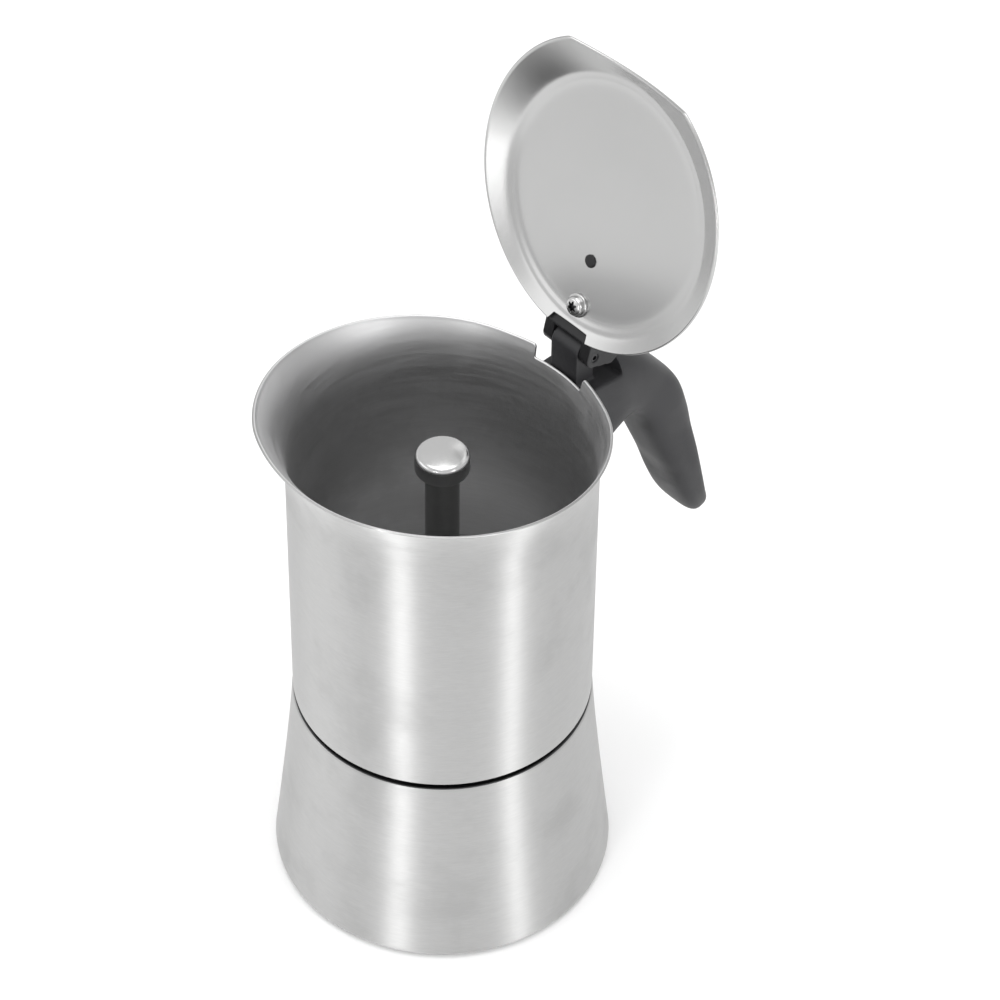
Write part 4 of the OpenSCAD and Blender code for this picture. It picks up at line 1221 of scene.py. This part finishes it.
class POT_OT_lid(bpy.types.Operator):
    """Makes the open lid, its lever, screw and washer"""
    bl_idname = "moka_pot.lid"
    bl_label = "Lid"

    def execute(self, context):
        plan = Plan()
        shape = about_pin(lid_points(plan), plan, plan.lid_open)
        sheet = grid("lid_sheet", shape, crease=45)
        brushing_map(sheet, lambda co: about_pin(co, plan, -plan.lid_open))
        put(sheet, "lid", "lid_steel", "lid steel", "lid")
        self.lever(plan)
        self.screw(plan)
        return {"FINISHED"}

    def lever(self, plan):
        """The moulded lever: two cheeks round the pin with room for the knuckle between
        them, and a peg through the lid. It is made closed and swung open."""
        px, pz, up = plan.pin[0], plan.pin[2], plan.panel_up
        cheek, inner_y, room, peg_r, far = 9.4, 5.7, 3.9, 2.0, 60
        screw_bore, pin_bore = 1.56, 1.37
        screw, peg = plan.on_panel(SCREW_X), plan.on_panel(PEG_X)
        swing = far * math.sin(plan.lid_open - math.pi / 2)
        behind = [(px, pz - far), (px + far, pz - far), (px + far, pz + swing + room),
                  (px, pz + room)]
        lever = moulded(raw("lever", slab(lever_outline(plan), -cheek, cheek)), [
            ("eye", JOIN, rod((px, -cheek, pz), (px, cheek, pz), EYE_R, 64)),
            ("peg", JOIN, rod(peg - 1.3 * up, peg + up, peg_r)),
            ("room", CUT, rod((px, -inner_y, pz), (px, inner_y, pz), room, 64)),
            ("behind", CUT, slab(behind, -inner_y, inner_y)),
            ("under", CUT, block((px - room, -inner_y, pz - far), (px + 1, inner_y, pz))),
            ("screw", CUT, rod(screw - 2 * up, screw + 7 * up, screw_bore)),
            ("pin", CUT, rod((px, -far, pz), (px, far, pz), pin_bore)),
        ], voxel=0.3, smoothing=2)
        mesh = lever.data
        swung = about_pin(read(mesh.vertices, "co") / MM, plan, plan.lid_open) * MM
        mesh.vertices.foreach_set("co", swung.astype(np.float32).ravel())
        mesh.update()
        put(lever, "lid", "black_plastic", "lever plastic", "lid_lever")

    def screw(self, plan):
        """The lid's screw, with its domed head under the lid, and its washer."""
        base = plan.on_panel(SCREW_X)
        side, up = np.array([0.0, 1, 0]), plan.panel_up
        across = np.cross(side, up)
        closed = placed(base, across, side, up)

        def place(shape):
            return about_pin(closed(shape), plan, plan.lid_open)
        shaft, end, flat_r, dome = 1.5, 5.9, 1.9, 0.07
        washer_low = -plan.sheet - 0.8
        face = washer_low - 2.1
        flat = np.linspace(0, flat_r, 20)
        profile = np.vstack([
            np.column_stack([flat, face + dome * flat ** 2]),
            arc((1.7, face + 1.5), 1.3, -70, 0),
            points((3.0, washer_low), (shaft, washer_low), (shaft, end), (0, end))])
        shape = star_recess(turned_points(profile, 120), face, reach=1.35, depth=1.0)

        # Painted shade: the faces inside the star recess get the dark steel
        def painted_shade_in_recess(centre, normal):
            spot = about_pin(centre / MM, plan, -plan.lid_open) - base
            depth, aside = spot @ up - face, np.hypot(spot @ across, spot @ side)
            return (depth > 0.3) & (depth < 1.5) & (aside < flat_r)
        put(grid("lid_bolt", place(shape), crease=35),
            "lid", "polished_steel", "polished steel", "lid_screw",
            second=("dark steel and painted shade", painted_shade_in_recess))
        washer = ring(shaft + 0.05, 3.6, washer_low, -plan.sheet, 0.2)
        put(turned("lid_bolt_washer", washer, 96, True, place=place),
            "lid", "plain_steel", "polished steel", "lid_washer")


# ---------------------------------------------------------------- stage

def soft_box(name, power, place, aim_z, wide, tall):
    """A rectangular light that points at a height on the pot's axis."""
    light = bpy.data.lights.new(name, "AREA")
    light.shape = "RECTANGLE"
    light.size, light.size_y = wide, tall
    light.energy = power
    obj = bpy.data.objects.new(name, light)
    obj.location = place
    aim = Vector((0, 0, aim_z)) - Vector(place)
    obj.rotation_euler = aim.to_track_quat("-Z", "Y").to_euler()
    bpy.context.scene.collection.objects.link(obj)


class POT_OT_stage(bpy.types.Operator):
    """Makes the floor, the lights and the camera"""
    bl_idname = "moka_pot.stage"
    bl_label = "Stage"

    def execute(self, context):
        scene, setup = context.scene, context.scene.moka_pot_stage
        made, tree, shader = new_material("floor")
        feed(tree, shader, {"Base Color": tone(setup.floor), "Roughness": 0.9,
                            "Specular IOR Level": 0.1})
        side = 4.0 / MM
        floor = raw("floor", ([(-side, -side, 0), (side, -side, 0), (side, side, 0),
                               (-side, side, 0)], [(0, 1, 2, 3)]))
        floor.data.materials.append(made)

        scene.world = bpy.data.worlds.new("studio")
        scene.world.use_nodes = True
        nodes = scene.world.node_tree
        feed(nodes, nodes.nodes["Background"], {"Color": (1, 1, 1, 1),
                                                "Strength": setup.daylight})

        # Name, share of the power, turn from the handle, distance, height, the height it
        # points at, width and height
        for name, share, turn, far, high, aim_z, wide, tall in (
                ("left strip", 0.2, -157, 0.9, 0.3, 0.1, 0.16, 0.6),
                ("right strip", 0.165, -87, 0.9, 0.3, 0.1, 0.13, 0.6),
                ("back box", 0.2, 145, 1.2, 0.7, 0.15, 0.9, 0.7),
                ("top box", 1.0, 0, 0, 1.6, 0, 1.2, 1.2)):
            a = math.radians(turn)
            soft_box(name, setup.key * share, (far * math.cos(a), far * math.sin(a), high),
                     aim_z, wide, tall)

        lens = bpy.data.cameras.new("camera")
        lens.lens = setup.lens
        lens.sensor_width = 36.0
        lens.shift_x = setup.shift
        lens.clip_start = 0.01
        scene.camera = bpy.data.objects.new("camera", lens)
        scene.camera.location = setup.camera_at
        scene.camera.rotation_euler = (setup.camera_pitch, 0, setup.camera_turn)
        scene.collection.objects.link(scene.camera)
        scene.view_settings.view_transform = "Standard"
        return {"FINISHED"}


class POT_PT_panel(bpy.types.Panel):
    """Lists the pot's pieces, sizes, colours and stage"""
    bl_idname = "POT_PT_panel"
    bl_label = "Moka Pot"
    bl_space_type = "VIEW_3D"
    bl_region_type = "UI"
    bl_category = "Moka Pot"

    def draw(self, context):
        for kind in OPERATORS:
            self.layout.operator(kind.bl_idname)
        for group in GROUPS:
            settings = getattr(context.scene, group)
            column = self.layout.column()
            for key in settings.__annotations__:
                column.prop(settings, key)


GROUPS = {"moka_pot_sizes": MokaPotSizes, "moka_pot_colours": MokaPotColours,
          "moka_pot_stage": MokaPotStage}
OPERATORS = (POT_OT_stage, POT_OT_boiler, POT_OT_valve, POT_OT_filter, POT_OT_collector,
             POT_OT_handle, POT_OT_lid)
CLASSES = (*GROUPS.values(), *OPERATORS, POT_PT_panel)


def register():
    for kind in CLASSES:
        bpy.utils.register_class(kind)
    for name, kind in GROUPS.items():
        setattr(bpy.types.Scene, name, bpy.props.PointerProperty(type=kind))


def unregister():
    for name in GROUPS:
        delattr(bpy.types.Scene, name)
    for kind in reversed(CLASSES):
        bpy.utils.unregister_class(kind)


def main():
    register()
    for kind in OPERATORS:
        group, action = kind.bl_idname.split(".")
        getattr(getattr(bpy.ops, group), action)()


if __name__ == "__main__":
    main()
